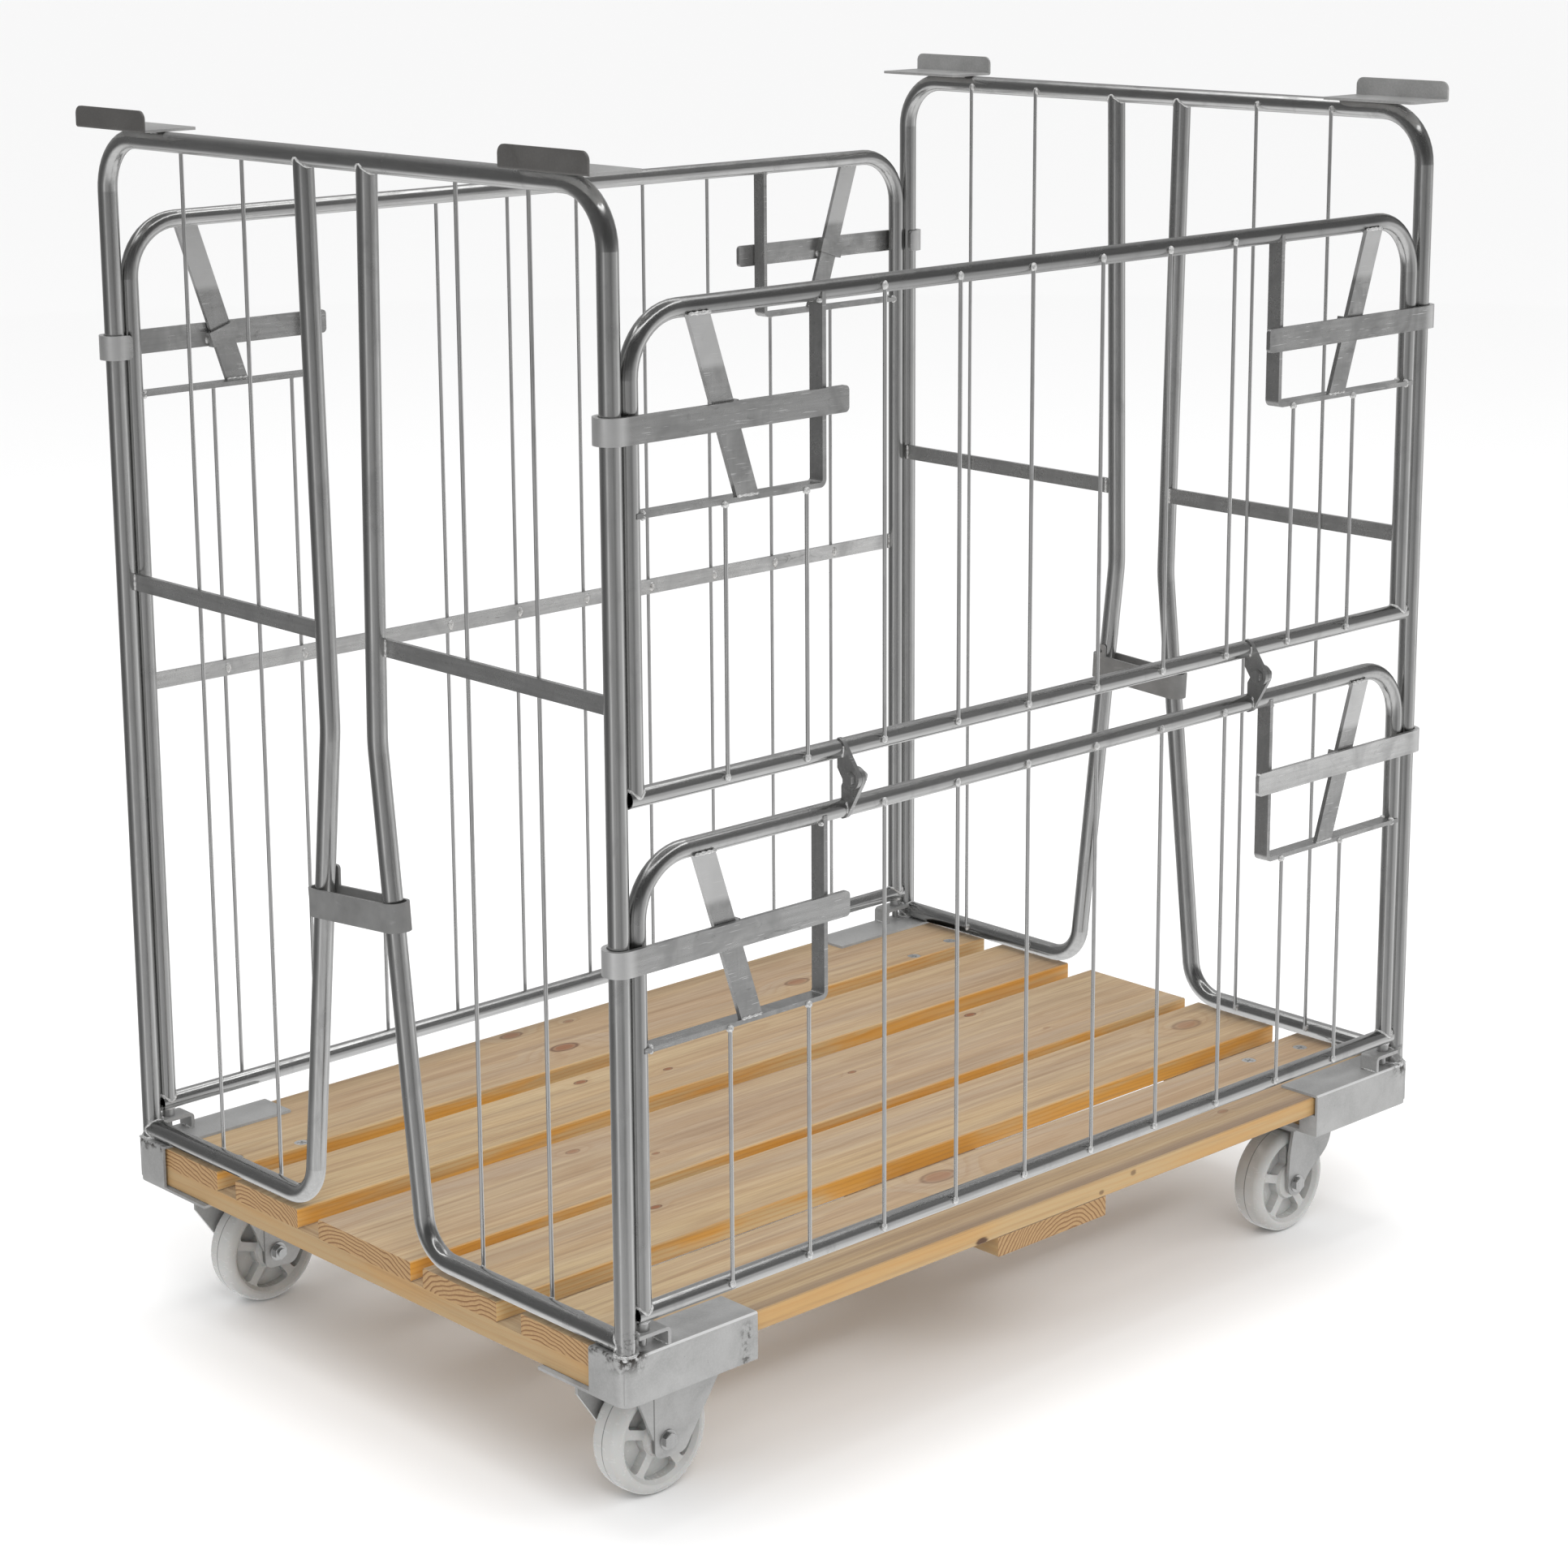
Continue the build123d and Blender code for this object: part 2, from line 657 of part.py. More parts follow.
# ---------------------------------------------------------------- fold hinges
def hinge_plates(side_of_centre, rail_y, rail_z, rail):
    """Links from a gate rail to the fold axis, one beside each hinge centre."""
    near = HINGE_GAP / 2
    reach = Vector(0, HINGE_AXIS_Y - rail_y, HINGE_AXIS_Z - rail_z)
    length = hypot(reach.Y, reach.Z)
    with BuildPart() as plates:
        for hinge in SIDES.values():
            x = hinge * HINGE_X + side_of_centre * (near + HINGE_PLATE_T / 2)
            middle = Vector(x, rail_y, rail_z) + reach / 2
            plane = Plane(origin=middle, x_dir=reach, z_dir=(1, 0, 0))
            with BuildSketch(plane):
                SlotCenterToCenter(length, 2 * HINGE_PLATE_R)
            extrude(amount=HINGE_PLATE_T / 2, both=True)
            start = (x - HINGE_PLATE_T, HINGE_AXIS_Y, HINGE_AXIS_Z)
            end = (x + HINGE_PLATE_T, HINGE_AXIS_Y, HINGE_AXIS_Z)
            bore = HINGE_BOLT_R + (RUNNING_FIT if side_of_centre < 0 else 0)
            rod(start, end, bore, mode=Mode.SUBTRACT)
            behind_rail = (rail_y, rail_y + 2 * HINGE_PLATE_R)
            with BuildSketch(Plane.XY.offset(rail_z - 30)):
                with Locations((x, sum(behind_rail) / 2)):
                    Rectangle(2 * HINGE_PLATE_T, behind_rail[1] - behind_rail[0])
            extrude(amount=60, mode=Mode.SUBTRACT)
        cut_away(rail)
    return plates


def hinge_bolts():
    """Hex bolts with their heads beside the upper plates and nuts beside the lower ones."""
    head_x = -HINGE_GAP / 2 - HINGE_PLATE_T - HINGE_GAP
    nut_x = HINGE_GAP / 2 + HINGE_PLATE_T
    length = nut_x - head_x + HINGE_BOLT_TAIL
    pieces = []
    for hinge in SIDES.values():
        under_head = Vector(hinge * HINGE_X + head_x, HINGE_AXIS_Y, HINGE_AXIS_Z)
        nut_face = Vector(hinge * HINGE_X + nut_x, HINGE_AXIS_Y, HINGE_AXIS_Z)
        pieces.append(hex_bolt(under_head, Vector(1, 0, 0), HINGE_BOLT_SIZE, length))
        pieces.append(hex_nut(nut_face, Vector(1, 0, 0), HINGE_BOLT_SIZE))
    return pieces


# ---------------------------------------------------------------- casters
def wheel(x, y):
    """Moulded wheel with a crowned tread, dished sides and five pockets a side."""
    centre = Plane(origin=(x, y, WHEEL_R), x_dir=(1, 0, 0), z_dir=(0, -1, 0))
    bore = AXLE_R + RUNNING_FIT
    with BuildPart() as body:
        with BuildSketch(Plane(origin=(x, y, WHEEL_R), x_dir=(1, 0, 0), z_dir=(0, 0, 1))):
            with BuildLine():
                crown_r, crown_half = TREAD_EDGE[-1]
                for half in (-1, 1):
                    side_points = (
                        (bore, 0),
                        (bore, HUB_HALF),
                        HUB_RIM,
                        HUB_FOOT,
                        WEB_INNER,
                        WEB_OUTER,
                        LIP_INNER,
                        TREAD_EDGE[0],
                    )
                    Polyline(*[(radius, half * width) for radius, width in side_points])
                    ThreePointArc(*[(radius, half * width) for radius, width in TREAD_EDGE])
                ThreePointArc((crown_r, -crown_half), (WHEEL_R, 0), (crown_r, crown_half))
            make_face()
        revolve(axis=Axis((x, y, WHEEL_R), (0, 1, 0)))
        for face in (-1, 1):
            plane = centre.offset(face * (TREAD_HALF + 1))
            with BuildSketch(plane) as pockets:
                Circle(POCKET_R)
                Circle(POCKET_INNER_R, mode=Mode.SUBTRACT)
                with PolarLocations(0, SPOKES, start_angle=SPOKE_TURN):
                    with Locations((POCKET_R / 2, 0)):
                        Rectangle(POCKET_R + 2, SPOKE_W, mode=Mode.SUBTRACT)
                fillet(pockets.vertices(), POCKET_CORNER)
            extrude(amount=-face * (TREAD_HALF + 1 - POCKET_FLOOR), mode=Mode.SUBTRACT)
    return body


def axle(x, y, outward):
    """Hex bolt and nut through a fork; the head faces out of the cage."""
    inward = Vector(0, -outward, 0)
    middle = Vector(x, y, WHEEL_R)
    grip = FORK_INNER + FORK_T
    bolt = hex_bolt(middle - inward * grip, inward, AXLE_SIZE, 2 * grip + AXLE_TAIL)
    nut = hex_nut(middle + inward * grip, inward, AXLE_SIZE)
    return [bolt, nut]


def axle_bore(piece_x, y):
    start = (piece_x, y - 2 * FORK_INNER, WHEEL_R)
    end = (piece_x, y + 2 * FORK_INNER, WHEEL_R)
    rod(start, end, AXLE_R, mode=Mode.SUBTRACT)


def fixed_fork(y):
    """Pressed fork in one piece with its top plate; each leg leans to its own side."""
    with BuildPart() as fork:
        block(
            (FIXED_X - PLATE_HALF_X, FIXED_X + PLATE_HALF_X),
            (y - PLATE_HALF_Y, y + PLATE_HALF_Y),
            (PLATE_LOW_Z, SLEEVE_LOW_Z),
        )
        for hand in (-1, 1):
            leg_y = y + hand * (FORK_INNER + FORK_T / 2)
            with BuildSketch(Plane.XZ.offset(-leg_y)) as leg:
                with BuildLine():
                    Polyline(*[(FIXED_X + hand * reach, z) for reach, z in FIXED_LEG], close=True)
                make_face()
                fillet(leg.vertices().filter_by_position(Axis.Y, 0, WHEEL_R - LEG_FOOT_R), LEG_FOOT_R)
            extrude(amount=FORK_T / 2, both=True)
        axle_bore(FIXED_X, y)
    return fork


def swivel_plate(y):
    """Fixed half of the swivel head: top plate, upper race and kingpin."""
    with BuildPart() as plate:
        block(
            (SWIVEL_X - PLATE_HALF_X, SWIVEL_X + PLATE_HALF_X),
            (y - PLATE_HALF_Y, y + PLATE_HALF_Y),
            (PLATE_LOW_Z, SLEEVE_LOW_Z),
        )
        kingpin_foot = (SWIVEL_X, y, CROWN_Z - KINGPIN_HEAD_T)
        rod((SWIVEL_X, y, PLATE_LOW_Z), (SWIVEL_X, y, RACE_SPLIT_Z + RACE_GAP), UPPER_RACE_R)
        rod((SWIVEL_X, y, RACE_SPLIT_Z + 1), kingpin_foot, KINGPIN_R)
        rod((SWIVEL_X, y, CROWN_Z - RACE_GAP), kingpin_foot, KINGPIN_HEAD_R)
    return plate


def swivel_fork(y):
    """Turning half of the swivel head: crown, lower race and two raked legs."""
    axle_x = SWIVEL_X - TRAIL
    crown_top_z = CROWN_Z + FORK_T
    fork_half = FORK_INNER + FORK_T
    sweep_end = radians(EYE_SWEEP)
    eye_front = (axle_x - EYE_R, WHEEL_R)
    eye_foot = (axle_x, WHEEL_R - EYE_R)
    eye_back = (axle_x + EYE_R * cos(sweep_end), WHEEL_R - EYE_R * sin(sweep_end))
    with BuildPart() as fork:
        block(CROWN_X, (y - fork_half, y + fork_half), (CROWN_Z, crown_top_z))
        for hand in (-1, 1):
            leg_y = y + hand * (FORK_INNER + FORK_T / 2)
            with BuildSketch(Plane.XZ.offset(-leg_y)):
                with BuildLine():
                    Polyline((CROWN_X[0], crown_top_z), SWIVEL_LEG_WAIST, eye_front)
                    ThreePointArc(eye_front, eye_foot, eye_back)
                    Spline(
                        eye_back,
                        *SWIVEL_LEG_BACK,
                        tangents=((sin(sweep_end), cos(sweep_end)), (0.1, 1)),
                    )
                    Polyline(
                        SWIVEL_LEG_BACK[-1],
                        (CROWN_X[1], crown_top_z),
                        (CROWN_X[0], crown_top_z),
                    )
                make_face()
            extrude(amount=FORK_T / 2, both=True)
        rod((SWIVEL_X, y, crown_top_z), (SWIVEL_X, y, RACE_SPLIT_Z), LOWER_RACE_R)
        bore_foot = (SWIVEL_X, y, CROWN_Z - 1)
        bore_head = (SWIVEL_X, y, RACE_SPLIT_Z + 1)
        rod(bore_foot, bore_head, KINGPIN_R + RUNNING_FIT, mode=Mode.SUBTRACT)
        axle_bore(axle_x, y)
    return fork


# ---------------------------------------------------------------- build: base
screws = deck_screws()
keep(screws, "deck_screws")
for number, row in enumerate(BOARD_ROWS_Y, start=1):
    keep(deck_board(row, screws), f"deck_board_{number}")
for place, column in CROSS_COLUMNS_X.items():
    keep(cross_board(column, screws), f"cross_board_{place}")
for end_name, end in ENDS.items():
    for side_name, side in SIDES.items():
        keep(corner_sleeve(side, end), f"corner_sleeve_{end_name}_{side_name}")

seats = [gate_seat(side, end) for end in ENDS.values() for side in SIDES.values()]
keep_group(seats, "gate_seats")

# ---------------------------------------------------------------- build: end frames
frame_wires = []
frame_bars = []
angles = []
for side_name, side in SIDES.items():
    loop = outer_loop(side)
    tubes = {end_name: inner_tube(side, end, loop) for end_name, end in ENDS.items()}
    keep(loop, f"outer_loop_{side_name}")
    for end_name, tube in tubes.items():
        keep(tube, f"inner_tube_{side_name}_{end_name}")
    frame_wires.append(end_wires(side, loop, *tubes.values()))
    frame_bars.append(end_bars(side, loop, *tubes.values()))
    angles.extend(stacking_angle(side, end) for end in ENDS.values())
keep_group(frame_wires, "end_wires")
keep_group(frame_bars, "end_bars")
keep_group(angles, "stacking_angles")
for side_name, (side, height, tilt) in CLAMPS.items():
    keep(frame_clamp(side, height, tilt), f"frame_clamp_{side_name}")

# ---------------------------------------------------------------- build: gates
rail_bars = {}
rails = {}
hoops = {}
for name, (gate_side, low_z, top_z) in GATES.items():
    rail_bars[name] = gate_rail_bar(gate_side, low_z)
    rails[name] = gate_bottom_rail(gate_side, low_z)
    hoops[name] = gate_hoop(gate_side, low_z, top_z, rail_bars[name])
    guides = gate_guides(gate_side, top_z, hoops[name])
    diagonals = gate_diagonals(gate_side, top_z, hoops[name])
    wires = gate_wires(gate_side, low_z, top_z, rail_bars[name], hoops[name], guides)
    keep(rails[name], f"{name}_rail")
    keep(hoops[name], f"{name}_hoop")
    keep_group((guides, diagonals), f"{name}_latch_guides")
    keep(wires, f"{name}_wires")
    if name == "rear_gate":
        keep(rear_mid_bar(hoops[name], wires), "rear_gate_mid_bar")
    if name != "upper_gate":
        keep(gate_pins(gate_side, low_z, rail_bars[name]), f"{name}_pins")
    for side_name, side in SIDES.items():
        height = LATCH_HEIGHTS[name][side_name]
        keep(latch(gate_side, side, height, top_z), f"{name}_latch_{side_name}")

upper_plates = hinge_plates(-1, -POST_Y, GATES["upper_gate"][1], rail_bars["upper_gate"])
lower_plates = hinge_plates(1, -POST_Y, GATES["lower_gate"][2], hoops["lower_gate"])
keep(upper_plates, "hinge_plates_upper")
keep(lower_plates, "hinge_plates_lower")
keep_group(hinge_bolts(), "hinge_bolts")

# ---------------------------------------------------------------- build: casters
for end_name, end in ENDS.items():
    y = end * CASTER_Y
    keep(wheel(FIXED_X, y), f"wheel_fixed_{end_name}")
    keep(wheel(SWIVEL_X - TRAIL, y), f"wheel_swivel_{end_name}")
    keep(swivel_fork(y), f"swivel_fork_{end_name}")
    keep_group(axle(SWIVEL_X - TRAIL, y, end), f"swivel_axle_{end_name}")

fixed_axles = [piece for end in ENDS.values() for piece in axle(FIXED_X, end * CASTER_Y, end)]
keep_group(fixed_axles, "fixed_axles")
keep_group([fixed_fork(end * CASTER_Y) for end in ENDS.values()], "fixed_forks")
keep_group([swivel_plate(end * CASTER_Y) for end in ENDS.values()], "swivel_plates")
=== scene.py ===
"""Looks for the roll cage container: finishes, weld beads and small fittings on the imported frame.

Same frame as the CAD, in metres: X along the long side, -Y the front gate, +Z up from the floor.
"""

import math

import bmesh
import bpy
from mathutils import Matrix, Vector, noise


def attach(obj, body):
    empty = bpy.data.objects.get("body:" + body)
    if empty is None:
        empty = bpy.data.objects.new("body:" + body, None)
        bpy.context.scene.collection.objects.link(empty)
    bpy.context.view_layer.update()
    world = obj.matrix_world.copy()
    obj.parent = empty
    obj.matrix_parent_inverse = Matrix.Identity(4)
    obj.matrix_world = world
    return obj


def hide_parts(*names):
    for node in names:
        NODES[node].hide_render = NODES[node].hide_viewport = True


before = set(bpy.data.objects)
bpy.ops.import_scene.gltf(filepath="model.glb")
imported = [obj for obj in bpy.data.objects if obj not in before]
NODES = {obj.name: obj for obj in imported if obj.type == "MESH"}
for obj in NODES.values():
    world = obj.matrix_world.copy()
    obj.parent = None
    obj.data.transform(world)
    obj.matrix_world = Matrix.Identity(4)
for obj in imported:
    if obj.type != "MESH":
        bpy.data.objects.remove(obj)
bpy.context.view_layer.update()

# ---------------- sizes shared with the CAD, in metres
# side frames
FRAME_X = 0.600
POST_Y = 0.408
TUBE_R = 0.0105
TOP_RAIL_Z = 1.314
LOW_RAIL_Z = 0.2075
INNER_FOOT_Y = 0.0976
INNER_KINK_Y = 0.040
INNER_KINK_Z = 0.735
INNER_HEAD_Y = 0.052
END_WIRE_Y = (0.175, 0.284)
END_BAR_X = 0.593
END_BAR_Z = 0.8335
SLIM_HALF = 0.009  # half the height of the slim flat bars
FLAT_T = 0.005  # thickness of every flat bar
FLAP_OUTER_X = (-0.6255, -0.6275)  # inside and outside of a left stacking angle's flap
FLAP_FOOT_Z = (1.312, 1.320)

# deck and corner sleeves
DECK_Z = 0.194
SLEEVE_TOP_Z = 0.197
SLEEVE_RIM_REACH = 0.6162  # Y plus Z at the sleeve's bent upper edge
SLEEVE_CORNER = (0.6082, 0.4162)
SCREW_SPOTS = ((0.487, 0.281), (0.567, 0.294))
SCREW_HEAD_R = 0.009
SCREW_SLOT = (0.0009, 0.0046, 0.0018)  # half width, reach and depth of the cross recess
SCREW_SHANK = ((0.0060, 0.0026), (0.0029, 0.0028), (0.0028, 0.032), (0.0005, 0.036))  # radius, drop

# gates
GATE_R = 0.0095
GATE_SIDE_X = 0.5785
GATE_WIRE_Y = 0.4186
GATE_WIRE_X = (0.05225, 0.15675, 0.26125, 0.36575, 0.47025)
GUIDE_X = 0.342
GUIDE_Y = 0.4095
GUIDE_FACE_Y = 0.4185
GUIDE_DROP = 0.185
DIAGONAL_FOOT_X = 0.4415
DIAGONAL_LEAN = math.radians(18.5)
DIAGONAL_HALF = 0.0137
REAR_BAR_Z = 0.716
REAR_BAR_Y = 0.414
HINGE_X = 0.311
HINGE_PLATE_FACES = (0.0002, 0.0054)
COLLAR_R = 0.007
SEAT_INNER_X = 0.552
SEAT_T = 0.004
SEAT_TOP_Z = 0.216
SEAT_LEG_Y = (0.397, 0.419)
SEAT_TOP_Y = (0.402, 0.416)
LATCH_FACE_Y = 0.4194
LATCH_LOOP_HALF = 0.0165

# casters
CASTER_Y = 0.334
FIXED_X = -0.508
FORK_CREASE = 0.0175

# gate: which side in Y (-1 front), and the heights of its lower and upper rails
GATES = {
    "lower_gate": (-1, 0.233, 0.685),
    "upper_gate": (-1, 0.746, 1.198),
    "rear_gate": (1, 0.233, 1.221),
}

# latch: which side in X and in Y, its height, and its gate's upper rail
LATCHES = {
    "lower_latch_left": (-1, -1, 0.592, 0.685),
    "lower_latch_right": (1, -1, 0.592, 0.685),
    "upper_latch_left": (-1, -1, 1.094, 1.198),
    "upper_latch_right": (1, -1, 1.086, 1.198),
    "rear_latch_left": (-1, 1, 1.090, 1.221),
    "rear_latch_right": (1, 1, 1.110, 1.221),
}

# latch bar: noise seed, and tone, which paints light and shade: each bar drawn lighter or darker as
# it is lit
LATCH_LOOKS = {
    "lower_gate_latch_left": (1.0, 0.92),
    "lower_gate_latch_right": (2.2, 1.15),
    "upper_gate_latch_left": (3.1, 0.74),
    "upper_gate_latch_right": (4.3, 0.70),
    "rear_gate_latch_left": (5.4, 0.85),
    "rear_gate_latch_right": (6.2, 0.85),
}

# board: long axis, the heart's place across it and in height, noise seed, and the knots of the
# upper face as (along, across, radius, depth of colour)
BOARDS = {
    "deck_board_1": (
        "x", (-0.30, 0.10), 1.3,
        ((-0.048, -0.287, 0.012, 0.55), (0.33, -0.372, 0.004, 0.5)),
    ),
    "deck_board_2": (
        "x", (-0.19, 0.05), 4.1,
        ((-0.328, -0.140, 0.004, 0.9), (0.531, -0.146, 0.013, 0.5)),
    ),
    "deck_board_3": (
        "x", (0.02, 0.02), 7.7,
        ((-0.287, 0.047, 0.005, 0.55), (-0.224, -0.021, 0.003, 0.7), (0.117, 0.017, 0.0035, 0.8),
         (0.368, 0.065, 0.0045, 0.95), (0.40, -0.034, 0.003, 0.4)),
    ),
    "deck_board_4": (
        "x", (0.21, 0.09), 2.9,
        ((-0.136, 0.214, 0.0045, 0.9), (-0.032, 0.177, 0.0035, 0.9)),
    ),
    "deck_board_5": (
        "x", (0.36, 0.03), 5.2,
        ((-0.071, 0.3225, 0.011, 0.8), (-0.0905, 0.400, 0.008, 0.7), (-0.006, 0.393, 0.004, 0.6),
         (0.303, 0.3085, 0.010, 0.6)),
    ),
    "cross_board_left": ("y", (-0.50, 0.08), 3.3, ((0.15, -0.52, 0.006, 0.7),)),
    "cross_board_middle": ("y", (0.02, 0.10), 6.1, ((-0.22, -0.03, 0.007, 0.7),)),
    "cross_board_right": ("y", (0.53, 0.06), 8.4, ((0.05, 0.50, 0.006, 0.7),)),
}

# knots on the front board's long edge: along, height, radius, depth of colour
FRONT_EDGE_KNOTS = (
    (-0.113, 0.1745, 0.0070, 0.95),
    (0.127, 0.1870, 0.0040, 0.6),
    (0.075, 0.1780, 0.0032, 0.6),
)

# ---------------- camera
CAMERA_PLACE = (-2.629, -2.806, 1.608)
CAMERA_YAW = math.radians(43.08)
CAMERA_PITCH = math.radians(-12.78)
CAMERA_ROLL = math.radians(-0.33)
CAMERA_LENS = 80.65
CAMERA_SHIFT_Y = -0.09
CAMERA_SENSOR = 36
CAMERA_FAR = 300


def make_camera():
    flat = math.cos(CAMERA_PITCH)
    forward = Vector((
        math.sin(CAMERA_YAW) * flat,
        math.cos(CAMERA_YAW) * flat,
        math.sin(CAMERA_PITCH),
    ))
    level = forward.cross(Vector((0, 0, 1))).normalized()
    raised = level.cross(forward)
    right = level * math.cos(CAMERA_ROLL) + raised * math.sin(CAMERA_ROLL)
    up = raised * math.cos(CAMERA_ROLL) - level * math.sin(CAMERA_ROLL)
    data = bpy.data.cameras.new("camera")
    data.lens = CAMERA_LENS
    data.sensor_width = CAMERA_SENSOR
    data.shift_y = CAMERA_SHIFT_Y
    data.clip_end = CAMERA_FAR
    camera = bpy.data.objects.new("camera", data)
    turned = Matrix((right, up, -forward)).transposed().to_4x4()
    camera.matrix_world = Matrix.Translation(CAMERA_PLACE) @ turned
    bpy.context.scene.collection.objects.link(camera)
    bpy.context.scene.camera = camera


# ---------------- shader graphs
class Graph:
    """Short calls for building one material's nodes on object coordinates."""

    def __init__(self, name):
        self.material = bpy.data.materials.new(name)
        self.material.use_nodes = True
        self.tree = self.material.node_tree
        self.tree.nodes.clear()
        self.shader = self.add("ShaderNodeBsdfPrincipled")
        self.output = self.add("ShaderNodeOutputMaterial")
        self.link(self.shader.outputs["BSDF"], self.output.inputs["Surface"])
        self.coords = self.add("ShaderNodeTexCoord")
        split = self.add("ShaderNodeSeparateXYZ")
        self.link(self.coords.outputs["Object"], split.inputs[0])
        self.x, self.y, self.z = split.outputs

    def add(self, kind, **settings):
        node = self.tree.nodes.new(kind)
        for key, value in settings.items():
            setattr(node, key, value)
        return node

    def link(self, source, target):
        self.tree.links.new(source, target)

    def feed(self, socket, value):
        """Wire an output into a socket, or set the socket's own value."""
        if isinstance(value, bpy.types.NodeSocket):
            self.link(value, socket)
        elif isinstance(value, tuple) and len(value) == 3 and socket.type == "RGBA":
            socket.default_value = (*value, 1.0)
        else:
            socket.default_value = value

    def place(self, scale=(1, 1, 1), offset=(0, 0, 0), rotation=(0, 0, 0)):
        """Object coordinates, stretched and shifted."""
        mapping = self.add("ShaderNodeMapping")
        self.link(self.coords.outputs["Object"], mapping.inputs["Vector"])
        mapping.inputs["Scale"].default_value = scale
        mapping.inputs["Location"].default_value = offset
        mapping.inputs["Rotation"].default_value = rotation
        return mapping.outputs[0]

    def noise(self, vector, scale, detail=3.0, roughness=0.5, distortion=0.0):
        """Fractal noise with scale cells to the metre."""
        node = self.add("ShaderNodeTexNoise")
        self.feed(node.inputs["Vector"], vector)
        node.inputs["Scale"].default_value = scale
        node.inputs["Detail"].default_value = detail
        node.inputs["Roughness"].default_value = roughness
        node.inputs["Distortion"].default_value = distortion
        return node.outputs["Fac"]

    def math(self, operation, a, b=0.0, clamp=False):
        node = self.add("ShaderNodeMath", operation=operation, use_clamp=clamp)
        for socket, value in zip(node.inputs, (a, b)):
            self.feed(socket, value)
        return node.outputs[0]

    def times(self, a, b, clamp=False):
        return self.math("MULTIPLY", a, b, clamp)

    def size(self, value):
        """The value without its sign."""
        return self.math("ABSOLUTE", value)

    def gap(self, value, centre):
        """How far a value is from a centre."""
        return self.size(self.math("SUBTRACT", value, centre))

    def length(self, u, v):
        """Distance from the origin of a plane."""
        return self.math("SQRT", self.math("ADD", self.times(u, u), self.times(v, v)))

    def remap(self, value, low, high, to_low=0.0, to_high=1.0):
        """A smooth step from to_low to to_high as the value goes from low to high."""
        node = self.add("ShaderNodeMapRange", interpolation_type="SMOOTHSTEP")
        for socket, entry in zip(node.inputs, (value, low, high, to_low, to_high)):
            self.feed(socket, entry)
        return node.outputs[0]

    def remap_linear(self, value, low, high):
        node = self.add("ShaderNodeMapRange")
        for socket, entry in zip(node.inputs, (value, low, high)):
            self.feed(socket, entry)
        return node.outputs[0]

    def mix(self, factor, a, b):
        node = self.add("ShaderNodeMix", data_type="RGBA", blend_type="MIX")
        self.feed(node.inputs[0], factor)
        self.feed(node.inputs[6], a)
        self.feed(node.inputs[7], b)
        return node.outputs[2]

    def ramp(self, factor, *stops):
        """A colour ramp through (position, colour) stops."""
        node = self.add("ShaderNodeValToRGB")
        self.feed(node.inputs[0], factor)
        elements = node.color_ramp.elements
        while len(elements) < len(stops):
            elements.new(0.5)
        for element, (position, colour) in zip(elements, stops):
            element.position = position
            element.color = (*colour, 1.0)
        return node.outputs[0]

    def bump(self, height, distance, strength=1.0, normal=None):
        node = self.add("ShaderNodeBump")
        node.inputs["Strength"].default_value = strength
        node.inputs["Distance"].default_value = distance
        self.feed(node.inputs["Height"], height)
        if normal is not None:
            self.feed(node.inputs["Normal"], normal)
        return node.outputs[0]

    def finish(self, colour, roughness, metallic, normal=None, **constants):
        """Set the shader, with single numbers on its own sockets, and hand back the material."""
        inputs = self.shader.inputs
        self.feed(inputs["Base Color"], colour)
        self.feed(inputs["Roughness"], roughness)
        inputs["Metallic"].default_value = metallic
        if normal is not None:
            self.feed(inputs["Normal"], normal)
        for key, value in constants.items():
            inputs[key.replace("_", " ")].default_value = value
        return self.material


# ---------------- metals
STREAK = 0.06  # how much the drawn-metal grain is squeezed along a bar
ALONG = {"x": (STREAK, 1, 1), "y": (1, STREAK, 1), "z": (1, 1, STREAK)}

ZINC_LIGHT = (0.66, 0.66, 0.655)
ZINC_MIDDLE = (0.56, 0.56, 0.555)
ZINC_DARK = (0.42, 0.42, 0.42)
ZINC_SPECK = (0.25, 0.25, 0.245)
ZINC_DARK_REFLECTION = (0.22, 0.22, 0.22)
SCORCHED = (0.05, 0.045, 0.04)

BAR_LIGHT = (0.64, 0.64, 0.635)
BAR_MIDDLE = (0.52, 0.52, 0.515)
BAR_DARK = (0.38, 0.38, 0.38)
BAR_SMUDGE = (0.24, 0.24, 0.235)
BAR_SCRATCH = (0.85, 0.85, 0.85)
BAR_PALE_AND_HIGHLIGHT = (0.86, 0.86, 0.855)

SHEET_DARK = (0.36, 0.36, 0.356)
SHEET_LIGHT = (0.50, 0.50, 0.495)
SHEET_GRAIN = (0.62, 0.62, 0.615)
SHEET_SPECK = (0.12, 0.12, 0.115)
SHEET_HIGHLIGHT = (0.92, 0.92, 0.915)
SHEET_STAIN_AND_SHADE = (0.06, 0.055, 0.05)


def toned(colour, tone):
    return tuple(tone * v for v in colour)


def metal_streaks(g, runs, seed):
    """Drawn-metal streaks that follow each run; runs is one axis, or two axes and a blend mask."""
    def streak(axis):
        return g.noise(g.place(ALONG[axis], (seed, seed, seed)), 260, 4, 0.6)

    if isinstance(runs, str):
        return streak(runs)
    first, second, mask = runs
    a = streak(first)
    b = streak(second)
    return g.mix(mask, a, b)


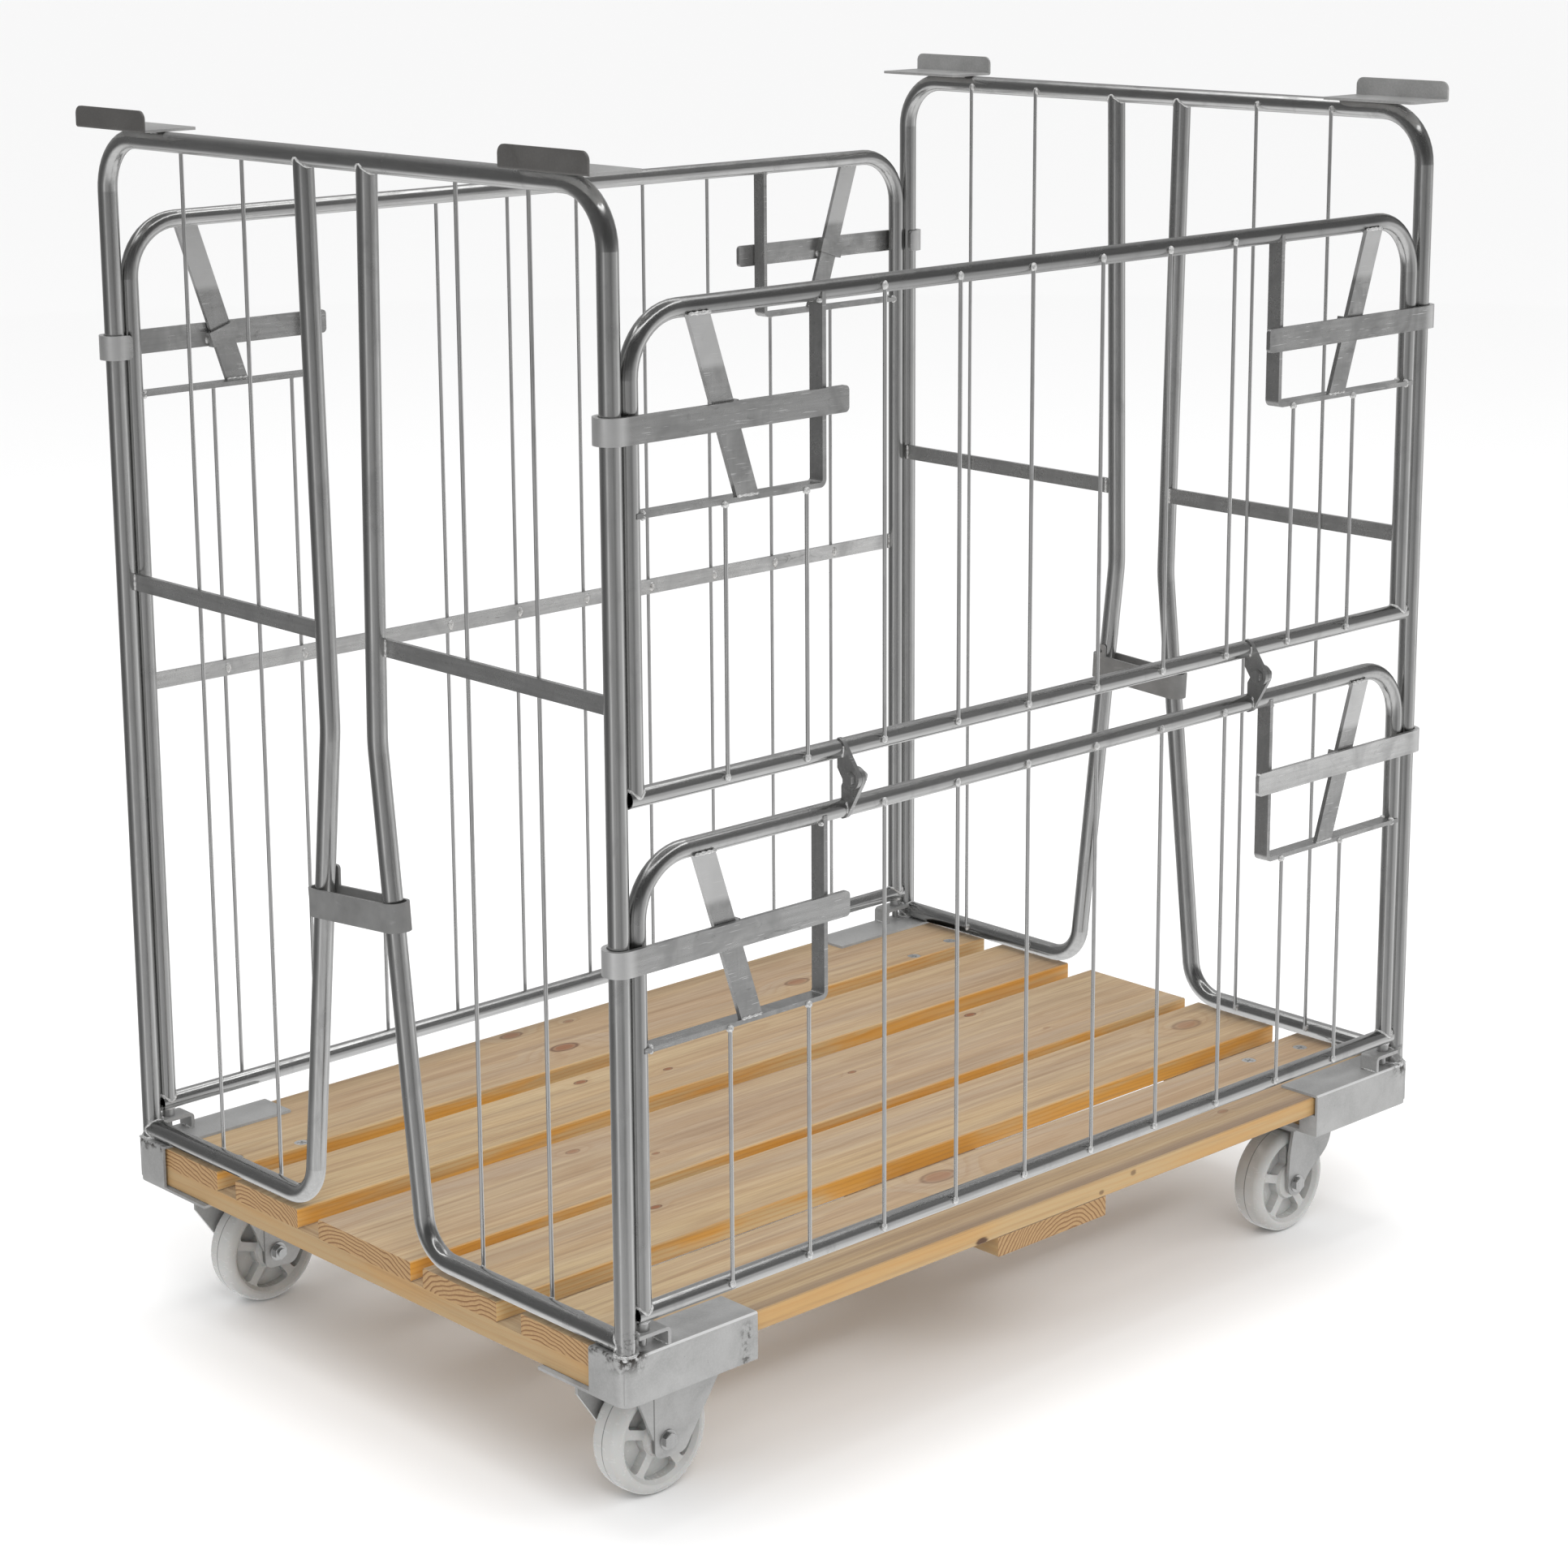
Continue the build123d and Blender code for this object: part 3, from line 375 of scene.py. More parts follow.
def zinc(name, make_runs, seed=0.0, tone=1.0, gloss=0.17, burn=None, dark_reflection_above=None):
    """Bright zinc-plated steel: streaks along the bar, soft stains, small dark specks.

    burn gives the scorched parts. The level run of a hoop gets a painted dark reflection above the
    height given.
    """
    g = Graph(name)
    streaks = metal_streaks(g, make_runs(g), seed)
    stains = g.noise(g.place((1, 1, 0.5), (seed, 0, 3)), 26, 5, 0.62, 0.6)
    blotch = g.noise(g.place((1, 1, 0.7), (0, seed, 7)), 95, 4, 0.7, 0.4)
    specks = g.noise(g.place((1, 1, 0.6), (2, 5, seed)), 620, 2, 0.5)
    dark = toned(ZINC_DARK, tone)
    colour = g.ramp(streaks, (0.30, toned(ZINC_MIDDLE, tone)), (0.70, toned(ZINC_LIGHT, tone)))
    colour = g.mix(g.remap(stains, 0.52, 0.72, 0.0, 0.40), colour, dark)
    colour = g.mix(g.remap(blotch, 0.62, 0.76, 0.0, 0.22), colour, dark)
    colour = g.mix(g.remap(specks, 0.72, 0.78, 0.0, 0.30), colour, ZINC_SPECK)
    rough = g.remap(stains, 0.35, 0.70, gloss, gloss + 0.10)
    rough = g.math("ADD", rough, g.remap(blotch, 0.50, 0.75, 0.0, 0.03))
    # painted dark reflection on the level top rail of a hoop, high up
    if dark_reflection_above is not None:
        level_part = g.remap(g.size(g.x), 0.545, 0.500)
        dark_reflection = g.times(level_part, g.remap(g.z, dark_reflection_above, dark_reflection_above + 0.012, 0.0, 0.58))
        colour = g.mix(dark_reflection, colour, ZINC_DARK_REFLECTION)
    if burn is not None:
        dark_marks = burn(g)
        colour = g.mix(dark_marks, colour, SCORCHED)
        rough = g.math("ADD", rough, g.times(dark_marks, 0.3))
    waves = g.noise(g.place((1, 1, 1), (seed, 4, 1)), 22, 1, 0.4)
    normal = g.bump(waves, 0.0004, 0.20)
    normal = g.bump(streaks, 0.000003, 0.5, normal)
    return g.finish(colour, rough, 1.0, normal)


def run_x(_):
    return "x"


def run_y(_):
    return "y"


def run_z(_):
    return "z"


def run_loop(g):
    """Upright posts, then the level top rail along Y."""
    return ("z", "y", g.remap(g.z, TOP_RAIL_Z - 0.045, TOP_RAIL_Z - 0.015))


def run_inner(g):
    """Level low rail along Y, then the upright."""
    return ("y", "z", g.remap(g.z, LOW_RAIL_Z + 0.012, LOW_RAIL_Z + 0.040))


def run_hoop(g):
    """Level top rail along X, then the upright sides."""
    return ("x", "z", g.remap(g.size(g.x), 0.545, 0.565))


def run_guide(_):
    """An even blend of both runs, since the upright, the diagonal and the foot share one node."""
    return ("z", "x", 0.5)


def char_at_foot(g):
    """Heat marks round the post feet and the low rail welds."""
    ragged = g.noise(g.place((1, 1, 1), (1, 2, 3)), 240, 3, 0.6)
    low = g.remap(g.z, SLEEVE_TOP_Z + 0.0055, SLEEVE_TOP_Z + 0.0005)
    joint = g.remap(g.gap(g.z, LOW_RAIL_Z), 0.019, 0.010)
    near_post = g.remap(g.size(g.y), POST_Y - 0.028, POST_Y - 0.014)
    both = g.math("MAXIMUM", low, g.times(g.times(joint, near_post), 0.40))
    return g.times(both, g.remap(ragged, 0.48, 0.64), clamp=True)


def rolled_bar(name, make_runs, seed=0.0, tone=1.0, pale_parts=None):
    """Zinc-plated flat bar: soft rolled surface, cloudy stains, fine scratches and paler parts,
    which are a painted highlight at the heads of the diagonals.
    """
    g = Graph(name)
    streaks = metal_streaks(g, make_runs(g), seed)
    clouds = g.noise(g.place((1, 1, 1), (seed, 1, 2)), 18, 4, 0.6, 0.8)
    smudge = g.noise(g.place((0.6, 1, 1.6), (3, seed, 2)), 70, 5, 0.65, 1.2)
    scratch = g.noise(g.place((0.05, 1, 1), (9, seed, 4), (0, 0.5, 0)), 900, 2, 0.4)
    colour = g.ramp(streaks, (0.32, toned(BAR_MIDDLE, tone)), (0.68, toned(BAR_LIGHT, tone)))
    colour = g.mix(g.remap(clouds, 0.42, 0.70, 0.0, 0.6), colour, toned(BAR_DARK, tone))
    colour = g.mix(g.remap(smudge, 0.60, 0.72, 0.0, 0.5), colour, BAR_SMUDGE)
    colour = g.mix(g.remap(scratch, 0.66, 0.74, 0.0, 0.7), colour, BAR_SCRATCH)
    rough = g.remap(clouds, 0.35, 0.70, 0.24, 0.36)
    rough = g.math("ADD", rough, g.remap(smudge, 0.5, 0.75, 0.0, 0.12))
    # paler parts: a painted highlight on the diagonals' heads, paler hook ends on the latches
    if pale_parts is not None:
        pale = pale_parts(g)
        colour = g.mix(pale, colour, BAR_PALE_AND_HIGHLIGHT)
        rough = g.math("ADD", rough, g.times(pale, 0.16))
    normal = g.bump(g.noise(g.place((1, 1, 1), (5, 5, seed)), 20, 2), 0.0010, 0.30)
    normal = g.bump(streaks, 0.00002, 0.5, normal)
    return g.finish(colour, rough, 0.9, normal)


def pale_hooks(g):
    """The latch bars drawn paler at their hook ends, by the posts."""
    return g.remap(g.size(g.x), 0.588, 0.602, 0.0, 0.85)


def painted_sheen_heads(g):
    """Painted highlight: the upper ends of the diagonals of each gate drawn bright."""
    heads = 0.0
    for _, _, top_z in GATES.values():
        above = g.remap(g.z, top_z - 0.062, top_z - 0.052)
        below = g.remap(g.z, top_z + 0.010, top_z)
        heads = g.math("MAXIMUM", heads, g.times(above, below))
    on_diagonal = g.remap(g.size(g.x), 0.380, 0.400)
    return g.times(g.times(heads, on_diagonal), 0.8)


def galvanised(name, seed=0.0, tone=1.0, dark_marks=None, painted_highlight=None):
    """Dull galvanised sheet: pale grey, cloudy and grainy, with dark specks.

    The fourth argument gives the dark marks, which are heat marks, painted shade and painted dark
    reflection; the fifth gives a painted highlight.
    """
    g = Graph(name)
    clouds = g.noise(g.place((1, 1, 1), (seed, 0, 0)), 22, 5, 0.6, 0.5)
    grain = g.noise(g.place((1, 1, 1), (0, seed, 0)), 420, 3, 0.6)
    specks = g.noise(g.place((1, 1, 0.5), (4, 2, seed)), 210, 4, 0.75)
    colour = g.ramp(
        clouds,
        (0.30, toned(SHEET_DARK, tone)),
        (0.70, toned(SHEET_LIGHT, tone)),
    )
    colour = g.mix(g.remap(grain, 0.40, 0.70, 0.0, 0.22), colour, SHEET_GRAIN)
    colour = g.mix(g.remap(specks, 0.68, 0.76, 0.0, 0.65), colour, SHEET_SPECK)
    rough = g.remap(clouds, 0.35, 0.70, 0.30, 0.44)
    # painted highlight
    if painted_highlight is not None:
        colour = g.mix(painted_highlight(g), colour, SHEET_HIGHLIGHT)
    # dark marks: heat marks, painted shade and painted dark reflection
    if dark_marks is not None:
        mark = dark_marks(g)
        colour = g.mix(mark, colour, SHEET_STAIN_AND_SHADE)
        rough = g.math("ADD", rough, g.times(mark, 0.25))
    normal = g.bump(clouds, 0.0008, 0.35)
    normal = g.bump(grain, 0.00005, 0.6, normal)
    return g.finish(colour, rough, 0.5, normal)


def char_on_sleeves(g):
    """Heat marks on the sleeves: round each post, along the welded seam and at the inner end."""
    ax = g.size(g.x)
    ay = g.size(g.y)
    away = g.length(g.math("SUBTRACT", ax, FRAME_X), g.math("SUBTRACT", ay, POST_Y))
    ragged = g.noise(g.place((1, 1, 1), (6, 1, 4)), 120, 4, 0.65)
    ring_mark = g.times(g.remap(away, 0.026, 0.013), g.remap(g.z, 0.175, 0.196))
    seam = g.times(g.remap(ax, 0.606, 0.612), g.remap(g.z, 0.188, 0.196))
    from_streak = g.size(g.math("ADD", g.x, 0.455))
    end = g.times(g.remap(from_streak, 0.011, 0.002), g.remap(g.z, 0.196, 0.180))
    marks = g.math("MAXIMUM", g.math("MAXIMUM", ring_mark, seam), g.times(end, 0.75))
    return g.times(marks, g.remap(ragged, 0.44, 0.62), clamp=True)


def sleeve_rim_highlight(g):
    """Painted highlight along the bent upper edge of the sleeves."""
    reach = g.math("ADD", g.size(g.y), g.z)
    return g.remap(reach, SLEEVE_RIM_REACH, SLEEVE_RIM_REACH + 0.0006, 0.0, 0.9)


def painted_dark_flaps(g):
    """Painted dark reflection on the outer faces of the left stacking angles' upright flaps."""
    outer_face = g.remap(g.x, *FLAP_OUTER_X)
    upright = g.remap(g.z, *FLAP_FOOT_Z)
    return g.times(g.times(outer_face, upright), 0.78)


def fork_crease_shade(g):
    """Painted shade down the pressed crease of each fixed fork leg, on the leg's steep side."""
    off = g.math("SUBTRACT", g.size(g.y), CASTER_Y)
    hand = g.math("SIGN", g.times(g.y, off))
    crease_x = g.math("ADD", FIXED_X, g.times(hand, FORK_CREASE))
    away = g.gap(g.x, crease_x)
    return g.times(g.remap(away, 0.0012, 0.0004, 0.0, 0.55), g.remap(g.z, 0.040, 0.052))


BAND_DARK = (0.20, 0.20, 0.198)
BAND_LIGHT = (0.27, 0.27, 0.267)
BAND_RUBBED = (0.34, 0.34, 0.335)
NYLON_DARK = (0.47, 0.47, 0.458)
NYLON_LIGHT = (0.52, 0.52, 0.508)
NYLON_SCUFF = (0.36, 0.355, 0.34)
NYLON_PARTING = (0.13, 0.13, 0.125)
WELD_DARK = (0.46, 0.46, 0.455)
WELD_LIGHT = (0.84, 0.84, 0.835)
WELD_SOOT = (0.14, 0.135, 0.13)


def clamp_grey(name):
    """Plain grey coated band, almost matt, with faint rubbing."""
    g = Graph(name)
    clouds = g.noise(g.place(), 30, 4, 0.6)
    fine = g.noise(g.place(), 700, 3, 0.6)
    rub = g.noise(g.place((1, 0.2, 1)), 150, 3, 0.6)
    colour = g.ramp(clouds, (0.30, BAND_DARK), (0.72, BAND_LIGHT))
    colour = g.mix(g.remap(rub, 0.60, 0.75, 0.0, 0.35), colour, BAND_RUBBED)
    normal = g.bump(fine, 0.00005, 0.7)
    return g.finish(colour, g.remap(clouds, 0.3, 0.7, 0.42, 0.54), 0.35, normal)


def moulded_nylon(name, seed):
    """Off-white moulded nylon with a parting line round the tread and faint scuffs."""
    g = Graph(name)
    clouds = g.noise(g.place((1, 1, 1), (seed, 0, 0)), 16, 4, 0.55)
    scuffs = g.noise(g.place((1, 0.3, 1), (0, seed, 0)), 180, 4, 0.7)
    skin = g.noise(g.place((1, 1, 1), (0, 0, seed)), 900, 2, 0.5)
    colour = g.ramp(clouds, (0.30, NYLON_DARK), (0.70, NYLON_LIGHT))
    colour = g.mix(g.remap(scuffs, 0.66, 0.80, 0.0, 0.25), colour, NYLON_SCUFF)
    parting = g.remap(g.gap(g.size(g.y), CASTER_Y), 0.0010, 0.0003)
    colour = g.mix(g.times(parting, 0.7), colour, NYLON_PARTING)
    height = g.math("ADD", parting, g.times(skin, 0.03))
    normal = g.bump(height, 0.0002, 0.5)
    rough = g.remap(scuffs, 0.40, 0.75, 0.20, 0.32)
    return g.finish(
        colour, rough, 0.0, normal, Subsurface_Weight=0.12, Subsurface_Scale=0.004, IOR=1.52,
    )


def weld_metal(name):
    """Weld bead: bright lumps with sooty hollows."""
    g = Graph(name)
    lumps = g.noise(g.place(), 380, 3, 0.6)
    soot = g.noise(g.place((1, 1, 1), (3, 1, 2)), 130, 3, 0.6)
    colour = g.ramp(lumps, (0.32, WELD_DARK), (0.64, WELD_LIGHT))
    colour = g.mix(g.remap(soot, 0.60, 0.72, 0.0, 0.7), colour, WELD_SOOT)
    normal = g.bump(lumps, 0.0005, 0.7)
    return g.finish(colour, g.remap(soot, 0.4, 0.7, 0.16, 0.36), 0.55, normal)


# ---------------- timber
GRAIN_SQUEEZE = 0.10  # how much the figure of the wood is squeezed along the board
RINGS_PER_M = 210
BROAD_RINGS_PER_M = 52

PINE_PALE = (0.475, 0.350, 0.195)
PINE_GREY = (0.400, 0.298, 0.205)
PINE_SHADE = (0.330, 0.225, 0.135)
PINE_BROAD = (0.46, 0.28, 0.12)
PINE_LATE = (0.31, 0.18, 0.085)
PINE_VEIN = (0.270, 0.175, 0.100)
PINE_BETWEEN = (0.560, 0.430, 0.260)
PINE_FIBRE = (0.28, 0.19, 0.125)
PINE_GATE_SHADOW = (0.235, 0.165, 0.120)
SIDE_PALE = (0.58, 0.41, 0.205)
SIDE_ORANGE = (0.66, 0.320, 0.055)
SIDE_LATE = (0.50, 0.215, 0.035)
SIDE_VEIN = (0.38, 0.22, 0.09)
SIDE_BROWN = (0.25, 0.165, 0.09)
SIDE_KNOT = (0.085, 0.040, 0.022)
END_PALE = (0.43, 0.27, 0.125)
END_LATE = (0.215, 0.105, 0.04)
END_FIBRE = (0.25, 0.14, 0.07)
KNOT_HEART = (0.235, 0.085, 0.035)
KNOT_RIM = (0.12, 0.05, 0.025)


def add_knots(g, along, across, drift, radius, knots):
    """Push the rings round each knot; gives the ring radius and the knots' hearts and rims."""
    heart = 0.0
    rim = 0.0
    for place_along, place_across, size, depth in knots:
        u = g.times(g.math("SUBTRACT", along, place_along), 0.55)
        v = g.math("SUBTRACT", across, place_across)
        away = g.length(u, v)
        wobble = g.times(g.math("SUBTRACT", drift, 0.5), size * 0.8)
        away = g.math("ADD", away, wobble)
        push = g.remap(away, size * 4.0, size * 0.4, 0.0, size * 1.1)
        radius = g.math("ADD", radius, push)
        heart = g.math("MAXIMUM", heart, g.remap(away, size, size * 0.62, 0.0, depth))
        edge = g.remap(g.gap(away, size), size * 0.28, 0.0, 0.0, depth)
        rim = g.math("MAXIMUM", rim, edge)
    return radius, heart, rim


def add_edge_knots(g, along, fibre, colour, knots):
    """Dark knots on the long sides of a board."""
    for place_along, height, size, depth in knots:
        u = g.times(g.math("SUBTRACT", along, place_along), 0.6)
        v = g.math("SUBTRACT", g.z, height)
        away = g.length(u, v)
        away = g.math("ADD", away, g.times(g.math("SUBTRACT", fibre, 0.5), size))
        colour = g.mix(g.remap(away, size, size * 0.5, 0.0, depth), colour, SIDE_KNOT)
    return colour


def pine(name, board, edge_knots=(), side_orange=1.0, side_shade=0.0, gate_shadow=0.0):
    """Planed pine, for one row of BOARDS.

    side_orange warms the long sides, side_shade browns them with painted shade, and the last
    argument paints the shadow of the front gate on the strip that lies under it.
    """
    grain, (pith_across, pith_z), seed, knots = board
    g = Graph(name)
    if grain == "x":
        along, across, stretch = g.x, g.y, (GRAIN_SQUEEZE, 1, 1)
    else:
        along, across, stretch = g.y, g.x, (1, GRAIN_SQUEEZE, 1)

    def squeezed(share):
        return tuple(share * v if v < 1 else v for v in stretch)

    drift = g.noise(g.place(stretch, (seed, seed * 0.7, 0)), 9, 3, 0.55)
    fibre = g.noise(g.place(squeezed(0.35), (0, seed, 2)), 330, 4, 0.65)
    shade = g.noise(g.place(stretch, (seed, 2, 5)), 26, 4, 0.6, 0.6)
    radius = g.length(g.math("SUBTRACT", across, pith_across), g.math("SUBTRACT", g.z, pith_z))
    radius = g.math("ADD", radius, g.times(g.math("SUBTRACT", drift, 0.5), 0.040))
    radius, heart, rim = add_knots(g, along, across, drift, radius, knots)
    rings = g.math("FRACT", g.times(radius, RINGS_PER_M))
    late = g.times(g.remap(rings, 0.45, 0.88), g.remap(rings, 1.0, 0.93))
    broad = g.math("FRACT", g.times(radius, BROAD_RINGS_PER_M))
    broad = g.times(g.remap(broad, 0.2, 0.7), g.remap(broad, 1.0, 0.85))

    # the faces: long sides, cut ends, and the rest is the upper and lower face
    facing = g.add("ShaderNodeSeparateXYZ")
    g.link(g.coords.outputs["Normal"], facing.inputs[0])
    facing_x, facing_y = g.size(facing.outputs[0]), g.size(facing.outputs[1])
    side = g.remap(facing_y if grain == "x" else facing_x, 0.5, 0.9)
    end = g.remap(facing_x if grain == "x" else facing_y, 0.6, 0.9)

    wash = g.noise(g.place(tuple(v * 0.6 for v in stretch), (seed, 9, 1)), 11, 3, 0.5)
    vein = g.noise(g.place(squeezed(0.22), (seed, 4, 9)), 120, 4, 0.62, 0.3)
    colour = g.mix(g.remap(wash, 0.36, 0.64), PINE_PALE, PINE_GREY)
    colour = g.mix(g.remap(shade, 0.40, 0.70, 0.0, 0.50), colour, PINE_SHADE)
    colour = g.mix(g.times(broad, 0.20), colour, PINE_BROAD)
    colour = g.mix(g.times(late, 0.26), colour, PINE_LATE)
    colour = g.mix(g.remap(vein, 0.52, 0.68, 0.0, 0.55), colour, PINE_VEIN)
    colour = g.mix(g.remap(vein, 0.46, 0.34, 0.0, 0.35), colour, PINE_BETWEEN)
    colour = g.mix(g.remap(fibre, 0.44, 0.66, 0.0, 0.25), colour, PINE_FIBRE)

    band = g.noise(g.place(stretch, (2, seed, seed)), 30, 4, 0.6, 0.4)
    deep = g.remap(band, 0.38, 0.60, 0.0, side_orange)
    side_colour = g.mix(deep, SIDE_PALE, SIDE_ORANGE)
    side_colour = g.mix(g.times(late, 0.40 * side_orange), side_colour, SIDE_LATE)
    side_colour = g.mix(g.remap(vein, 0.52, 0.68, 0.0, 0.40), side_colour, SIDE_VEIN)
    side_colour = g.mix(side_shade, side_colour, SIDE_BROWN)
    side_colour = add_edge_knots(g, along, fibre, side_colour, edge_knots)
    # painted shadow of the front gate on the strip of the board under it
    if gate_shadow:
        under_gate = g.times(g.remap(g.y, -0.394, -0.406), g.remap(drift, 0.35, 0.55, 0.6, 1.0))
        colour = g.mix(g.times(under_gate, gate_shadow), colour, PINE_GATE_SHADOW)
    colour = g.mix(side, colour, side_colour)

    end_colour = g.mix(late, END_PALE, END_LATE)
    end_colour = g.mix(g.remap(fibre, 0.45, 0.65, 0.0, 0.25), end_colour, END_FIBRE)
    colour = g.mix(end, colour, end_colour)

    plain = g.math("SUBTRACT", 1.0, end)
    colour = g.mix(g.times(heart, plain), colour, KNOT_HEART)
    colour = g.mix(g.times(rim, plain), colour, KNOT_RIM)
    rough = g.remap(fibre, 0.35, 0.70, 0.46, 0.62)
    height = g.math("ADD", g.times(late, 0.6), fibre)
    normal = g.bump(height, 0.00018, 0.7)
    return g.finish(colour, rough, 0.0, normal, IOR=1.45)


# ---------------- mesh tools
X_AXIS, Y_AXIS, Z_AXIS = (1, 0, 0), (0, 1, 0), (0, 0, 1)
BLOB_GRAIN = 1.7
BLOB_SPREAD = 90
BEAD_SIDES = 8
BEAD_LUMPS = 0.30
BEAD_RIPPLE = 2.1
BEAD_GRAIN = 300
BEAD_TAPER = 0.55


def new_piece(name, mesh, body, material, smooth=True):
    """Make a finished mesh into a piece that rides on a body."""
    data = bpy.data.meshes.new(name)
    mesh.normal_update()
    mesh.to_mesh(data)
    mesh.free()
    for polygon in data.polygons:
        polygon.use_smooth = smooth
    data.materials.append(material)
    piece = bpy.data.objects.new(name, data)
    bpy.context.scene.collection.objects.link(piece)
    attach(piece, body)
    return piece


def blob(mesh, centre, radii, lumps=0.22):
    """A weld spot: an uneven, noise-pushed ellipsoid."""
    made = bmesh.ops.create_icosphere(mesh, subdivisions=2, radius=1.0)
    shift = Vector(centre) * BLOB_SPREAD
    for vert in made["verts"]:
        push = 1.0 + lumps * noise.noise(vert.co * BLOB_GRAIN + shift)
        vert.co = Vector(centre) + Vector(c * r for c, r in zip(vert.co, radii)) * push


def turns(count, start=0.0):
    """Angles evenly round a circle."""
    return [2 * math.pi * k / count + start for k in range(count)]


def bead(mesh, points, radius, closed=False):
    """A weld run: a closed lumpy tube along points, capped at its ends unless it closes."""
    points = [Vector(p) for p in points]
    count = len(points)
    loops = []
    for index, point in enumerate(points):
        if closed:
            ahead = points[(index + 1) % count] - points[index - 1]
        else:
            ahead = points[min(index + 1, count - 1)] - points[max(index - 1, 0)]
        ahead.normalize()
        side = ahead.orthogonal().normalized()
        if index:
            side = (last_side - ahead * last_side.dot(ahead)).normalized()
        last_side = side
        up = ahead.cross(side)
        ripple = BEAD_LUMPS * math.sin(index * BEAD_RIPPLE)
        swell = 1.0 + ripple + BEAD_LUMPS * noise.noise(point * BEAD_GRAIN)
        if not closed and index in (0, count - 1):
            swell *= BEAD_TAPER
        loops.append([
            mesh.verts.new(point + (side * math.cos(turn) + up * math.sin(turn)) * radius * swell)
            for turn in turns(BEAD_SIDES)
        ])
    for index in range(count if closed else count - 1):
        near, far = loops[index], loops[(index + 1) % count]
        offset = 0
        if closed and index == count - 1:
            offset = min(range(BEAD_SIDES), key=lambda s: (near[0].co - far[s].co).length)
        for k in range(BEAD_SIDES):
            mesh.faces.new((
                near[k], near[(k + 1) % BEAD_SIDES],
                far[(k + 1 + offset) % BEAD_SIDES], far[(k + offset) % BEAD_SIDES],
            ))
    if not closed:
        mesh.faces.new(loops[0][::-1])
        mesh.faces.new(loops[-1])


def run(mesh, start, end, count, radius):
    """A straight weld run through count evenly spaced points."""
    start, end = Vector(start), Vector(end)
    bead(mesh, [start.lerp(end, i / (count - 1)) for i in range(count)], radius)


def saddle(centre, axis, bar_r, onto_axis, direction, count=22):
    """Where a round bar along axis meets another of the same radius along onto_axis."""
    axis, onto = Vector(axis), Vector(onto_axis)
    cross = axis.cross(onto).normalized()
    points = []
    for turn in turns(count):
        along = math.cos(turn) * bar_r
        side = math.sin(turn) * bar_r
        rise = math.sqrt(max(bar_r ** 2 - side ** 2, 0.0))
        points.append(Vector(centre) + onto * along + cross * side + axis * direction * rise)
    return points


def ring(centre, axis, radius, count=20):
    axis = Vector(axis).normalized()
    side = axis.orthogonal().normalized()
    up = axis.cross(side)
    return [
        Vector(centre) + (side * math.cos(turn) + up * math.sin(turn)) * radius
        for turn in turns(count)
    ]


# ---------------- weld beads
PROUD = 0.0006  # how far the middle of a bead stands off the face it lies on
BURIED = 0.0008  # how far it lies inside a tube's outline

END_SPOT_X = 0.5890
END_SPOT_RISE = 0.003
END_SPOT_R = (0.0028, 0.0036, 0.0052)
ANGLE_TACK_Y = (0.302, 0.335, 0.372)
ANGLE_TACK_LENGTH = 0.016
ANGLE_TACK_OFF = 0.0052
RAIL_SPOT_RISE = 0.0015
RAIL_SPOT_R = (0.0037, 0.0026, 0.0050)
GUIDE_SPOT_Y = 0.4183
GUIDE_SPOT_DROP = 0.0026
GUIDE_SPOT_R = (0.0042, 0.0036, 0.0040)
BAR_SPOT_R = (0.0042, 0.0020, 0.0066)
GUIDE_HEAD_R = (0.0032, 0.0032, 0.0026)
GUIDE_END_R = (0.0026, 0.0036, 0.0028)
LOOP_SPOT_R = (0.0026, 0.0012, 0.0042)
CORNER_SPOT_R = (0.0035, 0.0035, 0.0022)


def inner_upright_y(z):
    """How far the inner upright is from the middle at a height, since it is bent at its kink."""
    if z < INNER_KINK_Z:
        share = (INNER_KINK_Z - z) / (INNER_KINK_Z - LOW_RAIL_Z)
        return INNER_KINK_Y + share * (INNER_FOOT_Y - INNER_KINK_Y)
    share = (z - INNER_KINK_Z) / (TOP_RAIL_Z - INNER_KINK_Z)
    return INNER_KINK_Y + share * (INNER_HEAD_Y - INNER_KINK_Y)


def tube_welds(mesh, sx, sy):
    """Round the post's foot, the low rail's end and the inner tube's head."""
    foot = (sx * FRAME_X, sy * POST_Y, SLEEVE_TOP_Z + PROUD)
    bead(mesh, ring(foot, Z_AXIS, TUBE_R + PROUD), 0.0019, True)
    rail_end = (sx * FRAME_X, sy * POST_Y, LOW_RAIL_Z)
    bead(mesh, saddle(rail_end, Y_AXIS, TUBE_R, Z_AXIS, -sy), 0.0014, True)
    head = (sx * FRAME_X, sy * INNER_HEAD_Y, TOP_RAIL_Z)
    bead(mesh, saddle(head, Z_AXIS, TUBE_R, Y_AXIS, -1), 0.0013, True)


def end_frame_welds(mesh, sx, sy):
    """The end wires, the end bar and the stacking angle."""
    for y in END_WIRE_Y:
        blob(mesh, (sx * END_SPOT_X, sy * y, LOW_RAIL_Z + END_SPOT_RISE), END_SPOT_R)
        blob(mesh, (sx * END_SPOT_X, sy * y, TOP_RAIL_Z - END_SPOT_RISE), END_SPOT_R)
    bar_ends = (POST_Y - TUBE_R + BURIED, inner_upright_y(END_BAR_Z) + TUBE_R - BURIED)
    for y in bar_ends:
        for face in (-1, 1):
            x = sx * END_BAR_X + face * FLAT_T / 2
            low = (x, sy * y, END_BAR_Z - SLIM_HALF)
            high = (x, sy * y, END_BAR_Z + SLIM_HALF)
            run(mesh, low, high, 9, 0.0015)
    for y in ANGLE_TACK_Y:
        for face in (-1, 1):
            x = sx * FRAME_X + face * ANGLE_TACK_OFF
            z = TOP_RAIL_Z + TUBE_R - BURIED
            run(mesh, (x, sy * y, z), (x, sy * (y + ANGLE_TACK_LENGTH), z), 8, 0.0016)


